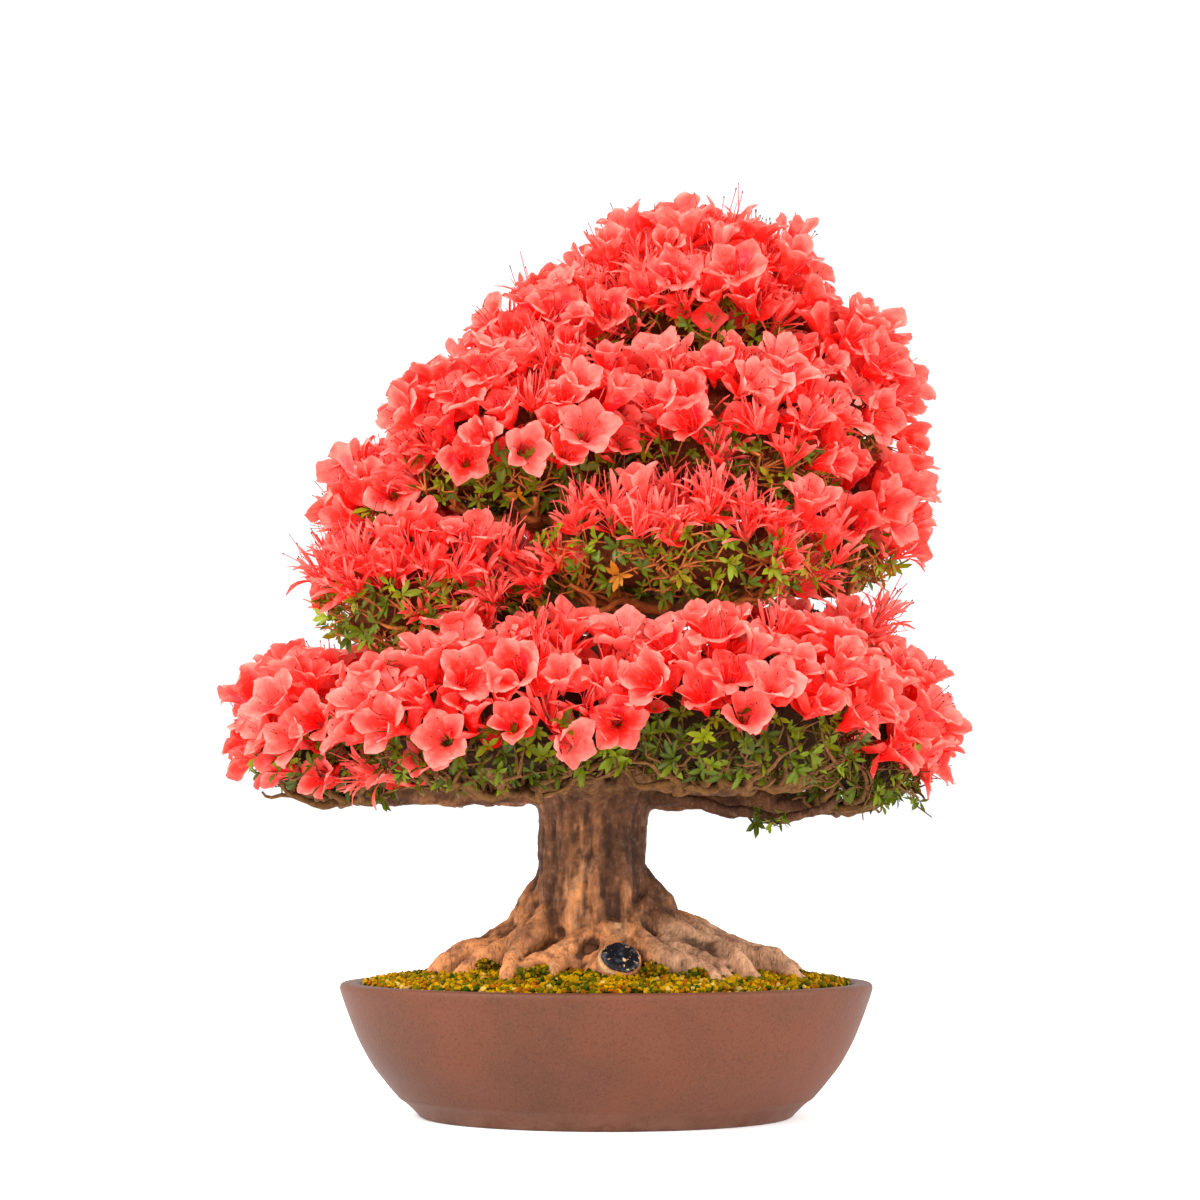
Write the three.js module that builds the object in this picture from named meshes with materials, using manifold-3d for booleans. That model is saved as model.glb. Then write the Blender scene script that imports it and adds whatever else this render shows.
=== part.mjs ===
/**
 * Satsuki azalea bonsai in full flower, in its shallow oval pot.
 *
 * Millimetres, +Z up, the tree's front faces -Y. The origin lies on the surface
 * that the pot stands on, under the middle of the whole plant.
 *
 * The tree is a flared trunk with surface roots, limbs that carry flat pads of
 * foliage in tiers, and an apex pad. Each pad is a leafy underside (a thin core
 * with whorls of leaves) and a flowering top (a low dome with blooms).
 */
import * as THREE from 'three';
import { mergeVertices } from 'three/addons/utils/BufferGeometryUtils.js';
import Module from 'manifold-3d';

const library = await Module();
library.setup();
const { Manifold, Mesh: SolidMesh } = library;

// ---------------------------------------------------------------- dimensions

const CLEARANCE = 0.3;
const SOCKET_CLEARANCE = 0.45;
const PLANT_SHIFT_X = 8;

const POT = {
  length: 400,
  width: 300,
  height: 100,
  rimWidth: 14,
  rimRound: 4,
  rimLip: 8,
  footLength: 280,
  footHeight: 11,
  footFlare: 10,
  footRingWidth: 16,
  recessDepth: 5,
  recessSlope: 3,
  floorThickness: 13,
  floorRadius: 146,
  sides: 28,
};
// Height and half length of the outer wall, from the ledge above the foot up to the rim.
const POT_WALL = [[17, 157], [29, 168], [48, 180.5], [70, 191], [90, 198.5]];

const DRAIN = { radius: 12, offset: 72, sides: 12 };
const DRAIN_MESH = { size: 40, thickness: 1.2, holes: 2, bar: 5 };

const SOIL = {
  edgeHeight: 100,
  moundHeight: 13,
  grain: 1.6,
  edgeRise: 4,
  edgeSpread: 2,
  rings: 2,
  sides: POT.sides,
  sideClearance: 1,
};

const TRUNK_FOOT = [-8, 0];
const TRUNK_SIDES = 18;
const FLUTES = { count: 5, depth: 0.055, phase: 0.6, twist: 0.004 };
// Height, sideways lean (x, y) and mean radius of each section.
const TRUNK_SECTIONS = [
  { z: 84, lean: [0, 0], radius: 34 },
  { z: 112, lean: [0, 0], radius: 38 },
  { z: 132, lean: [-1, 0], radius: 40 },
  { z: 150, lean: [-2, 0], radius: 41.5 },
  { z: 170, lean: [-2.5, 0], radius: 41.5 },
  { z: 196, lean: [-2.5, 0], radius: 40.5 },
  { z: 224, lean: [-2, 0], radius: 40.5 },
  { z: 251, lean: [0, 0], radius: 50 },
  { z: 284, lean: [3, 1], radius: 38 },
  { z: 340, lean: [16, 3], radius: 27 },
];
const LEADER = {
  points: [[4, 3, 318], [20, 4, 380], [36, 4, 450], [50, 2, 520], [62, -4, 572], [67, -8, 604]],
  radii: [27, 22, 17, 13, 9, 6],
  sides: 8,
  steps: 5,
  level: new THREE.Vector3(1, 0, 0),
};

// Surface roots: points of the crest from the trunk out, and half width at each point.
const ROOTS = [
  {
    crest: [[-30, 2, 204], [-56, 1, 175], [-70, -1, 156], [-90, -5, 140], [-112, -8, 127], [-136, -12, 96]],
    radii: [15, 15, 14, 12, 10, 6],
  },
  {
    crest: [[-42, -18, 168], [-53, -32, 150], [-64, -48, 138], [-70, -64, 127], [-72, -90, 94]],
    radii: [13, 9.5, 7.5, 6.5, 5],
  },
  {
    crest: [[-10, -22, 156], [-18, -44, 141], [-30, -57, 132], [-35, -66, 125], [-42, -90, 94]],
    radii: [12, 8, 6.5, 5.5, 5],
  },
  {
    crest: [[8, -22, 166], [24, -44, 142], [47, -62, 130], [74, -79, 118], [94, -94, 90]],
    radii: [14, 10, 8.5, 7, 5.5],
  },
  {
    crest: [[20, -16, 178], [44, -24, 154], [70, -38, 138], [98, -56, 124], [120, -68, 92]],
    radii: [14, 10, 8, 6.5, 5],
  },
  {
    crest: [[14, -2, 200], [33, -3, 182], [52, -5, 158], [73, -10, 144], [106, -20, 130], [128, -27, 124],
      [160, -41, 92]],
    radii: [14, 14, 12.5, 11, 9, 8, 6],
  },
  {
    crest: [[30, 8, 178], [56, 10, 154], [98, 14, 132], [134, 8, 121], [160, -2, 96]],
    radii: [15, 12, 9, 8, 6],
  },
  {
    crest: [[6, 18, 174], [28, 40, 156], [48, 62, 136], [64, 80, 118], [76, 94, 92]],
    radii: [16, 12, 10, 8, 5],
  },
  {
    crest: [[-11, 24, 174], [-14, 52, 152], [-22, 78, 132], [-31, 98, 114], [-40, 110, 90]],
    radii: [15, 11, 9, 7, 5],
  },
  {
    crest: [[-26, 15, 176], [-50, 33, 158], [-74, 52, 138], [-91, 68, 119], [-104, 82, 92]],
    radii: [16, 12, 10, 8, 5],
  },
  {
    crest: [[-2, -25, 166], [3, -41, 151], [5, -54, 137]],
    radii: [14, 12.5, 10],
  },
];
// tall: height of a root's section by its width. flattest: least share of a root's
// way that counts as level.
const ROOT_SECTION = { tall: 1.3, flattest: 0.6, sides: 6, steps: 4 };
const STUB = {
  angle: 284,
  start: 44,
  reach: 76,
  startHeight: 88,
  endHeight: 121,
  radius: 16.6,
  startShare: 1.1,
  endShare: 1,
  sides: 10,
};
// levels: rise and width of the paste's rings, as shares of its thickness and the stub's end.
const SEAL = { thickness: 3, inset: 0.4, levels: [[0, 1], [0.5, 0.94], [1, 0.6]] };

// Pads of foliage. centre: middle of the rim plane, where leaves meet blooms.
// size: half length along x and half depth along y. dome and bowl: height of the
// flowering core and depth of the leafy core. droop: dip of the outer edge, in
// degrees. strap: share of narrow-petalled blooms. limb: height where the limb
// leaves the trunk.
const foliage = (name, centre, size, shape) => ({ name, centre, size, ...shape });
const PADS = [
  foliage('low_left', [-192, -18, 283], [70, 84], { dome: 44, droop: 2, strap: 0.25, limb: 246 }),
  foliage('low_front_left', [-66, -133, 287], [106, 64], { dome: 58, droop: 8, strap: 0.1, limb: 248 }),
  foliage('low_front_right', [84, -138, 290], [98, 62], { dome: 62, droop: 5, strap: 0.05, limb: 250 }),
  foliage('low_right', [182, -24, 275], [57, 84], { dome: 52, droop: 7, strap: 0.1, limb: 244 }),
  foliage('low_back_right', [98, 128, 282], [88, 66], { dome: 62, droop: 8, strap: 0.1, limb: 252 }),
  foliage('low_back_left', [-92, 124, 284], [90, 70], { dome: 58, droop: 8, strap: 0.1, limb: 254 }),
  foliage('shelf_right', [150, 4, 350], [62, 66], { dome: 40, droop: 8, strap: 0.7, limb: 296 }),
  foliage('mid_left', [-119, -86, 384], [89, 60], { dome: 38, droop: 3, strap: 0.75, limb: 320 }),
  foliage('mid_front', [48, -110, 418], [112, 56], { dome: 34, droop: 4, strap: 0.75, limb: 340 }),
  foliage('mid_right', [174, 6, 442], [52, 66], { dome: 52, droop: 8, strap: 0.2, limb: 364 }),
  foliage('mid_back', [-34, 108, 402], [126, 62], { dome: 50, droop: 8, strap: 0.3, limb: 334 }),
  foliage('high_left', [-150, -35, 447], [44, 58], { dome: 36, droop: 8, strap: 0.2, limb: 384 }),
  foliage('high_front_left', [-56, -84, 488], [92, 62], { dome: 62, droop: 8, strap: 0.15, limb: 428 }),
  foliage('high_front_right', [84, -80, 490], [84, 60], { dome: 62, droop: 8, strap: 0.45, limb: 432 }),
  foliage('high_right', [158, -4, 536], [58, 64], { dome: 60, droop: 10, strap: 0.1, limb: 456 }),
  foliage('high_back', [-6, 88, 496], [106, 62], { dome: 64, droop: 8, strap: 0.2, limb: 432 }),
  foliage('shoulder_left', [-26, -18, 572], [60, 56], { dome: 44, droop: 14, strap: 0.25, limb: 512 }),
  foliage('apex', [67, -8, 602], [88, 74], { dome: 68, droop: 0, strap: 0.45, limb: 560 }),
];
// Cores: height and width of each ring as shares of the pad's, from the fringe out.
const FRINGE = -14;
const DOME_CORE = { rings: [[0, 0.96], [0.45, 1], [0.76, 0.5]], inset: 24, sides: 8, tuft: 0.05 };
const BOWL_CORE = { rings: [[0, 1], [0.8, 0.66]], inset: 11, sides: 12, tuft: 0.15 };
const BOWL_DEPTH = 25;
const CELL_STRETCH = 1.15;
const PAD_LIMB = {
  lift: 7,
  inner: 0.86,
  outer: 0.42,
  tipHeight: -24,
  radii: [12.7, 8.5, 6.4, 3.4],
  sides: 4,
  steps: 3,
};
// A thin branch that hangs below the lowest tier on the right, at the front.
const LOW_BRANCH = {
  points: [[18, -12, 240], [66, -35, 233], [112, -52, 222], [142, -58, 223], [172, -60, 238]],
  radii: [7, 5.5, 4.5, 4, 3],
  sides: 4,
  steps: 4,
};
// Side twigs run under the pads of the lowest tier, where they show.
const LOW_TIER_LIMBS_BELOW = 260;
const TWIG = {
  angles: [-48, 52],
  bend: 0.4,
  reach: 0.66,
  rise: 4,
  gap: 3,
  radii: [3.4, 2.7, 1.6],
  sides: 3,
  steps: 2,
};
const LEADER_KEEP_OUT = 44;
// Which repeats are left out: those that face the trunk, and those under a higher pad.
const SHADE = { inward: -0.25, upright: 0.8, above: 40, cover: 0.88, sideways: 0.62 };

const BLOOM = {
  lobes: 5,
  radius: 35,
  throat: 7,
  mouth: 15,
  frill: 4,
  corner: 20,
  notch: 0.6,
  notchRise: 0.8,
  stalk: 34,
  stalkTaper: 0.7,
  collar: 2.6,
  spacing: 58,
  lift: 3,
  sweep: 97,
  tilt: 10,
  sizes: [0.92, 1.08],
  leastRise: 0.15,
  margin: 7,
  largestShift: 13,
};
const STRAP_BLOOM = { radius: 37, notch: 0.16, notchRise: 3.6, throat: 6, mouth: 17, curl: 5 };
const WHORL = {
  leaves: 5,
  radius: 24,
  shorter: 0.86,
  notch: 0.2,
  notchRise: 1.2,
  rise: 7,
  droop: 3.5,
  lift: 9,
  throat: 3.6,
  stalk: 16,
  collar: 2,
  spacing: 92,
  stray: 0.6,
  dips: [24, 56],
  sizes: [0.85, 1.1],
  slope: 2.2,
  margin: 3,
  largestShift: 4,
};

// Seeds of the draws: a block for each pad, and a few for each spot in it.
const SEEDS_PER_PAD = 1000;
const DRAWS_PER_SPOT = 7;
const WHORL_SEED = 50000;

const COLOURS = {
  pot: 0x8f5d49,
  drainMesh: 0x2b2b2b,
  soil: 0x9c7b1b,
  wood: 0x7a5238,
  seal: 0x1b1d22,
  leaf: 0x5f7a24,
  bloom: 0xf4564d,
};

// ------------------------------------------------------------------- helpers

const TURN = 2 * Math.PI;
const FEW_SIDES = 6;
const GOLDEN_ANGLE = Math.PI * (3 - Math.sqrt(5));
const radians = THREE.MathUtils.degToRad;
const vector = (x, y, z) => new THREE.Vector3(x, y, z);
const mix = THREE.MathUtils.lerp;

/** A repeatable draw between 0 and 1 for a whole-number seed. */
function draw(seed) {
  const wave = Math.sin(seed * 12.9898 + 78.233) * 43758.5453;
  return wave - Math.floor(wave);
}

/** A geometry from corner points and triangles given as index triples. */
function geometryOf(points, triangles) {
  const geometry = new THREE.BufferGeometry();
  const places = points.flatMap((point) => point.toArray());
  geometry.setAttribute('position', new THREE.Float32BufferAttribute(places, 3));
  geometry.setIndex(triangles.flat());
  return geometry;
}

/** The solid that a closed geometry bounds. */
function solidOf(geometry) {
  const bare = geometry.clone();
  bare.deleteAttribute('normal');
  bare.deleteAttribute('uv');
  const welded = mergeVertices(bare, 1e-4);
  const mesh = new SolidMesh({
    numProp: 3,
    vertProperties: new Float32Array(welded.attributes.position.array),
    triVerts: new Uint32Array(welded.index.array),
  });
  return new Manifold(mesh);
}

/** The geometry of a solid. */
function geometryFrom(solid) {
  const mesh = solid.getMesh();
  const geometry = new THREE.BufferGeometry();
  geometry.setAttribute('position', new THREE.BufferAttribute(mesh.vertProperties, 3));
  geometry.setIndex(new THREE.BufferAttribute(mesh.triVerts, 1));
  geometry.computeVertexNormals();
  return geometry;
}

/** The largest body of a solid, without loose scraps and sealed hollows. */
function largestBody(solid) {
  const bodies = solid.decompose();
  return bodies.reduce((best, body) => (body.volume() > best.volume() ? body : best));
}

/** Triangles that close the band between two rings of points, walked by share of each ring. */
function bandTriangles(lower, lowerCount, upper, upperCount) {
  const triangles = [];
  let low = 0;
  let high = 0;
  while (low < lowerCount || high < upperCount) {
    const lowNow = lower + (low % lowerCount);
    const highNow = upper + (high % upperCount);
    if ((low + 0.5) / lowerCount < (high + 0.5) / upperCount) {
      triangles.push([lowNow, lower + ((low + 1) % lowerCount), highNow]);
      low += 1;
    } else {
      triangles.push([lowNow, upper + ((high + 1) % upperCount), highNow]);
      high += 1;
    }
  }
  return triangles;
}

/** A closed solid through rings of equal size, each counter-clockwise about the way of travel. */
function loft(rings) {
  const size = rings[0].length;
  const points = rings.flat();
  const triangles = [];
  for (let ring = 0; ring + 1 < rings.length; ring += 1) {
    triangles.push(...bandTriangles(ring * size, size, (ring + 1) * size, size));
  }
  triangles.push(...capTriangles(points, 0, size).map((corners) => corners.toReversed()));
  triangles.push(...capTriangles(points, (rings.length - 1) * size, size));
  return geometryOf(points, triangles);
}

/** A flat ring's cap: a fan from a middle point for many sides, or from one corner for few. */
function capTriangles(points, start, size) {
  const triangles = [];
  if (size > FEW_SIDES) {
    points.push(centreOf(points.slice(start, start + size)));
    for (let side = 0; side < size; side += 1) {
      triangles.push([points.length - 1, start + side, start + ((side + 1) % size)]);
    }
  } else {
    for (let side = 1; side + 1 < size; side += 1) triangles.push([start, start + side, start + side + 1]);
  }
  return triangles;
}

/** The mean of some points. */
function centreOf(points) {
  const sum = points.reduce((total, point) => total.add(point), vector(0, 0, 0));
  return sum.divideScalar(points.length);
}

/** A tapering limb through hand-placed points. tall stretches its section upwards; extra thickens it. */
function limbGeometry({ points, radii, sides, steps, tall = 1, level = vector(0, 0, 1) }, extra = 0) {
  const curve = new THREE.CatmullRomCurve3(points.map((point) => vector(...point)), false, 'centripetal');
  const rings = [];
  for (let step = 0; step <= steps; step += 1) {
    const share = step / steps;
    const way = curve.getTangentAt(share);
    const across = way.clone().cross(level).normalize();
    const along = across.clone().cross(way).multiplyScalar(tall);
    const middle = curve.getPointAt(share);
    if (step === steps) middle.addScaledVector(way, extra);
    rings.push(circleRing(middle, along, across, radiusAlong(radii, share) + extra, sides));
  }
  return loft(rings);
}

/** A radius read off a list of radii at a share of its length. */
function radiusAlong(radii, share) {
  const place = share * (radii.length - 1);
  const before = Math.min(Math.floor(place), radii.length - 2);
  return mix(radii[before], radii[before + 1], place - before);
}

/** Points round a circle, or round an oval when across and along differ in length. */
function circleRing(middle, across, along, radius, sides) {
  const ring = [];
  for (let side = 0; side < sides; side += 1) {
    const angle = (side / sides) * TURN;
    const point = middle.clone();
    point.addScaledVector(across, radius * Math.cos(angle));
    point.addScaledVector(along, radius * Math.sin(angle));
    ring.push(point);
  }
  return ring;
}

// ----------------------------------------------------------------------- pot

/** A turned shape squeezed to the pot's oval plan, from [half length, height] pairs. */
function ovalLathe(profile) {
  const points = profile.map(([radius, height]) => new THREE.Vector2(radius, height));
  const geometry = new THREE.LatheGeometry(points, POT.sides);
  geometry.rotateX(Math.PI / 2);
  geometry.scale(1, POT.width / POT.length, 1);
  return geometry;
}

/** The pot: foot ring, curved wall, domed rim, floor and drain holes. */
function potSolid() {
  const half = POT.length / 2;
  const foot = POT.footLength / 2;
  const inner = half - POT.rimWidth;
  const outside = [
    [0, POT.recessDepth],
    [foot - POT.footRingWidth - POT.recessSlope, POT.recessDepth],
    [foot - POT.footRingWidth, 0],
    [foot, 0],
    [foot + POT.footFlare, POT.footHeight],
    ...POT_WALL.map(([height, radius]) => [radius, height]),
    [half, POT.height - POT.rimRound],
    [half - POT.rimRound, POT.height],
  ];
  const inside = [[inner, POT.height - 1], ...insideProfile(0), [0, POT.floorThickness]];
  const body = solidOf(ovalLathe([...outside, ...inside]));
  return drainOffsets().reduce((pot, offset) => pot.subtract(drainPlug(offset)), body);
}

/** Radius and height of the pot's inner wall, held back by a clearance. */
function insideProfile(clearance) {
  return [
    [POT.length / 2 - POT.rimWidth - POT.rimRound - clearance, POT.height - POT.rimLip],
    [POT.floorRadius - clearance, POT.floorThickness + clearance],
  ];
}

const drainOffsets = () => [-DRAIN.offset, DRAIN.offset];

/** What a drain hole takes out of the pot. */
function drainPlug(offset) {
  const plug = new THREE.CylinderGeometry(DRAIN.radius, DRAIN.radius, POT.height, DRAIN.sides);
  plug.rotateX(Math.PI / 2);
  plug.translate(offset, 0, 0);
  return solidOf(plug);
}

/** A square plastic mesh with its openings, lying on the floor over a drain hole. */
function drainMeshSolid(offset) {
  const { size, thickness, holes, bar } = DRAIN_MESH;
  const height = POT.floorThickness + CLEARANCE + thickness / 2;
  const plate = new THREE.BoxGeometry(size, size, thickness).translate(offset, 0, height);
  const pitch = (size - bar) / holes;
  let mesh = solidOf(plate);
  for (let row = 0; row < holes; row += 1) {
    for (let column = 0; column < holes; column += 1) {
      const opening = new THREE.BoxGeometry(pitch - bar, pitch - bar, thickness * 2);
      const [x, y] = [column, row].map((place) => (place - (holes - 1) / 2) * pitch);
      mesh = mesh.subtract(solidOf(opening.translate(offset + x, y, height)));
    }
  }
  return mesh;
}

// ---------------------------------------------------------------------- soil

/** Height of the mounded soil where share is the distance from the middle (1 at the pot wall). */
function soilHeight(share, seed) {
  const mound = SOIL.edgeHeight + SOIL.moundHeight * (1 - share * share);
  return mound + SOIL.grain * (draw(seed) - 0.5);
}

/** The soil: it fills the pot up to the rim's lip and mounds up towards the trunk. */
function soilSolid(keepOut) {
  const clearance = SOIL.sideClearance;
  const profile = insideProfile(clearance);
  const [rimRadius, rimHeight] = profile[0];
  const ratio = POT.width / POT.length;
  const ringAt = (radius, height) => {
    const ring = circleRing(vector(0, 0, 0), vector(1, 0, 0), vector(0, ratio, 0), radius, SOIL.sides);
    ring.forEach((point, side) => point.setZ(height(side)));
    return ring;
  };
  const rings = profile.toReversed().map(([radius, height]) => ringAt(radius, () => height));
  rings.push(ringAt(rimRadius + SOIL.edgeSpread, () => rimHeight + SOIL.edgeRise));
  for (let ring = SOIL.rings; ring > 0; ring -= 1) {
    const share = ring / SOIL.rings;
    rings.push(ringAt(rimRadius * share, (side) => soilHeight(share, ring * SOIL.sides + side)));
  }
  const body = solidOf(loft(rings));
  return largestBody(body.subtract(keepOut));
}

/** The pocket that the drain meshes take out of the soil. */
function drainMeshPocket(offset) {
  const size = DRAIN_MESH.size + 2 * CLEARANCE;
  const pocket = new THREE.BoxGeometry(size, size, 2 * DRAIN_MESH.thickness + 4 * CLEARANCE);
  pocket.translate(offset, 0, POT.floorThickness + CLEARANCE);
  return solidOf(pocket);
}

// ---------------------------------------------------------------------- wood

/** The fluted trunk, from below the soil up to where the leader takes over. */
function trunkGeometry(extra = 0) {
  const rings = TRUNK_SECTIONS.map(({ z, lean, radius }) => {
    const ring = [];
    for (let side = 0; side < TRUNK_SIDES; side += 1) {
      const angle = (side / TRUNK_SIDES) * TURN;
      const flute = 1 + FLUTES.depth * Math.cos(FLUTES.count * angle + FLUTES.phase + z * FLUTES.twist);
      const reach = radius * flute + extra;
      ring.push(vector(
        TRUNK_FOOT[0] + lean[0] + reach * Math.cos(angle),
        TRUNK_FOOT[1] + lean[1] + reach * Math.sin(angle),
        z,
      ));
    }
    return ring;
  });
  return loft(rings);
}

/** A surface root that runs out over the soil and dives into it, with its crest through the given points. */
function rootShape({ crest, radii }) {
  const { tall, flattest, sides, steps } = ROOT_SECTION;
  const points = crest.map(([x, y, z], index) => {
    const before = vector(...crest[Math.max(index - 1, 0)]);
    const way = vector(...crest[Math.min(index + 1, crest.length - 1)]).sub(before);
    const level = Math.hypot(way.x, way.y) / way.length();
    return [x, y, z - (radii[index] * tall) / Math.max(level, flattest)];
  });
  return { points, radii, tall, sides, steps };
}

/** The stub of a sawn-off root, pointing forward and down. */
function stubShape() {
  const heading = radians(STUB.angle);
  const at = (reach, height) => [
    TRUNK_FOOT[0] + reach * Math.cos(heading),
    TRUNK_FOOT[1] + reach * Math.sin(heading),
    height,
  ];
  return {
    points: [at(STUB.start, STUB.startHeight), at(STUB.reach, STUB.endHeight)],
    radii: [STUB.radius * STUB.startShare, STUB.radius * STUB.endShare],
    sides: STUB.sides,
    steps: 1,
  };
}

/** Black wound paste: a shallow cap that lies on the stub's cut face. extra thickens it. */
function sealGeometry(extra = 0) {
  const { points, sides } = stubShape();
  const end = vector(...points.at(-1));
  const way = end.clone().sub(vector(...points.at(-2))).normalize();
  const across = way.clone().cross(vector(0, 0, 1)).normalize();
  const along = across.clone().cross(way);
  const radius = STUB.radius * STUB.endShare - SEAL.inset;
  const rings = SEAL.levels.map(([rise, share]) => {
    const lift = CLEARANCE + rise * SEAL.thickness + extra * (2 * rise - 1);
    const middle = end.clone().addScaledVector(way, lift);
    return circleRing(middle, along, across, radius * share + extra, sides);
  });
  return loft(rings);
}

/** Frame of a pad: its rim plane, dipping towards the outside of the crown. */
function padFrame(pad) {
  const outward = outwardAngle(pad);
  const axis = vector(-Math.sin(outward), Math.cos(outward), 0);
  const frame = new THREE.Matrix4().makeRotationAxis(axis, radians(pad.droop));
  return frame.setPosition(...pad.centre);
}

/** Compass angle from the trunk to a pad. */
function outwardAngle({ centre }) {
  const [trunkX, trunkY] = LEADER.points[0];
  return Math.atan2(centre[1] - trunkY, centre[0] - trunkX);
}

/** A point under or in a pad, at a share of its reach in a direction of the rim plane. */
function padPoint(pad, frame, heading, share, height) {
  const local = vector(
    pad.size[0] * share * Math.cos(heading),
    pad.size[1] * share * Math.sin(heading),
    height,
  );
  return local.applyMatrix4(frame).toArray();
}

/** The trunk's axis at a height. */
function axisAt(height) {
  const axis = [[...TRUNK_FOOT, TRUNK_SECTIONS[0].z], ...LEADER.points];
  const above = Math.max(1, axis.findIndex((point) => point[2] >= height));
  const share = (height - axis[above - 1][2]) / (axis[above][2] - axis[above - 1][2]);
  return axis[above].map((value, index) => mix(axis[above - 1][index], value, share));
}

/** A pad's limb: out of the trunk, under the pad and up into its leaves. */
function padLimbShape(pad) {
  const frame = padFrame(pad);
  const heading = outwardAngle(pad);
  const under = FRINGE - BOWL_DEPTH - PAD_LIMB.lift;
  return {
    points: [
      axisAt(pad.limb),
      padPoint(pad, frame, heading + Math.PI, PAD_LIMB.inner, under),
      padPoint(pad, frame, heading, 0, under),
      padPoint(pad, frame, heading, PAD_LIMB.outer, PAD_LIMB.tipHeight),
    ],
    radii: PAD_LIMB.radii,
    sides: PAD_LIMB.sides,
    steps: PAD_LIMB.steps,
  };
}

/** Side twigs that fork from a pad's limb under its leaves. */
function twigShapes(pad) {
  const frame = padFrame(pad);
  const outward = outwardAngle(pad);
  const under = FRINGE - BOWL_DEPTH - PAD_LIMB.lift;
  return TWIG.angles.map((turn) => {
    const heading = outward + radians(turn);
    return {
      points: [
        padPoint(pad, frame, outward, 0, under),
        padPoint(pad, frame, heading, TWIG.bend, under + TWIG.rise),
        padPoint(pad, frame, heading, TWIG.reach, FRINGE - BOWL_DEPTH - TWIG.gap),
      ],
      radii: TWIG.radii,
      sides: TWIG.sides,
      steps: TWIG.steps,
    };
  });
}

/** Every limb-like shape of the tree, each a path with its radii. */
function limbShapes() {
  const limbs = PADS.filter((pad) => pad.name !== 'apex').map(padLimbShape);
  const twigs = PADS.filter((pad) => pad.limb < LOW_TIER_LIMBS_BELOW).flatMap(twigShapes);
  return [LEADER, LOW_BRANCH, ...ROOTS.map(rootShape), stubShape(), ...limbs, ...twigs];
}

// ---------------------------------------------------------- blooms and leaves

/** A flower-like solid: a ring of petal points round a throat, on a three-sided stalk. */
function starGeometry(ringPoints, throat, collarRadius, stalkLength) {
  const collar = circleRing(vector(0, 0, 0), vector(1, 0, 0), vector(0, 1, 0), collarRadius, 3);
  const foot = collar.map((point) => point.clone().multiplyScalar(BLOOM.stalkTaper).setZ(-stalkLength));
  const points = [...foot, ...collar, ...ringPoints, vector(0, 0, throat)];
  const ringStart = foot.length + collar.length;
  const size = ringPoints.length;
  const tip = points.length - 1;
  const triangles = [
    [0, 2, 1],
    ...bandTriangles(0, 3, 3, 3),
    ...bandTriangles(3, 3, ringStart, size),
  ];
  for (let side = 0; side < size; side += 1) {
    triangles.push([ringStart + side, ringStart + ((side + 1) % size), tip]);
  }
  return geometryOf(points, triangles);
}

/** A point at an angle and radius round +Z. */
function ringPoint(angle, radius, height) {
  return vector(radius * Math.cos(angle), radius * Math.sin(angle), height);
}

/** A five-lobed azalea bloom that opens towards +Z. */
function bloomGeometry(size) {
  const corner = radians(BLOOM.corner);
  const radius = BLOOM.radius * size;
  const mouth = BLOOM.mouth * size;
  const ring = [];
  for (let lobe = 0; lobe < BLOOM.lobes; lobe += 1) {
    const middle = (lobe / BLOOM.lobes) * TURN;
    const between = middle + TURN / (2 * BLOOM.lobes);
    ring.push(ringPoint(middle - corner, radius, mouth));
    ring.push(ringPoint(middle + corner, radius, mouth + BLOOM.frill * size));
    ring.push(ringPoint(between, radius * BLOOM.notch, mouth * BLOOM.notchRise));
  }
  return starGeometry(ring, BLOOM.throat * size, BLOOM.collar, BLOOM.stalk);
}

/** A bloom whose five petals are narrow straps. */
function strapBloomGeometry(size) {
  const ring = [];
  for (let strap = 0; strap < BLOOM.lobes; strap += 1) {
    const middle = (strap / BLOOM.lobes) * TURN;
    const between = middle + TURN / (2 * BLOOM.lobes);
    const reach = STRAP_BLOOM.radius * size;
    const rise = (STRAP_BLOOM.mouth + STRAP_BLOOM.curl * (strap % 2)) * size;
    ring.push(ringPoint(middle, reach, rise));
    ring.push(ringPoint(between, reach * STRAP_BLOOM.notch, STRAP_BLOOM.notchRise));
  }
  return starGeometry(ring, STRAP_BLOOM.throat, BLOOM.collar, BLOOM.stalk);
}

/** A whorl of pointed leaves round a twig's end. */
function whorlGeometry(size) {
  const ring = [];
  for (let leaf = 0; leaf < WHORL.leaves; leaf += 1) {
    const middle = (leaf / WHORL.leaves) * TURN;
    const isUpper = leaf % 2 === 1;
    const reach = WHORL.radius * size * (isUpper ? WHORL.shorter : 1);
    ring.push(ringPoint(middle, reach, isUpper ? WHORL.lift : WHORL.droop));
    const between = middle + TURN / (2 * WHORL.leaves);
    ring.push(ringPoint(between, WHORL.radius * WHORL.notch, WHORL.notchRise));
  }
  return starGeometry(ring, WHORL.throat, WHORL.collar, WHORL.stalk);
}

/** Area of a dome from its top down to a slope angle, as if it were round. */
function domeArea(radius, rise, slope) {
  const slices = 24;
  let area = 0;
  for (let slice = 0; slice < slices; slice += 1) {
    const angle = (slope * (slice + 0.5)) / slices;
    const run = Math.hypot(radius * Math.cos(angle), rise * Math.sin(angle));
    area += TURN * radius * Math.sin(angle) * run * (slope / slices);
  }
  return area;
}

/** Slope angle that has a share of the dome's area above it, so that places spread evenly. */
function slopeForShare(radius, rise, sweep, share) {
  const wanted = share * domeArea(radius, rise, sweep);
  let low = 0;
  let high = sweep;
  for (let halving = 0; halving < 20; halving += 1) {
    const middle = (low + high) / 2;
    if (domeArea(radius, rise, middle) < wanted) low = middle;
    else high = middle;
  }
  return low;
}

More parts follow.
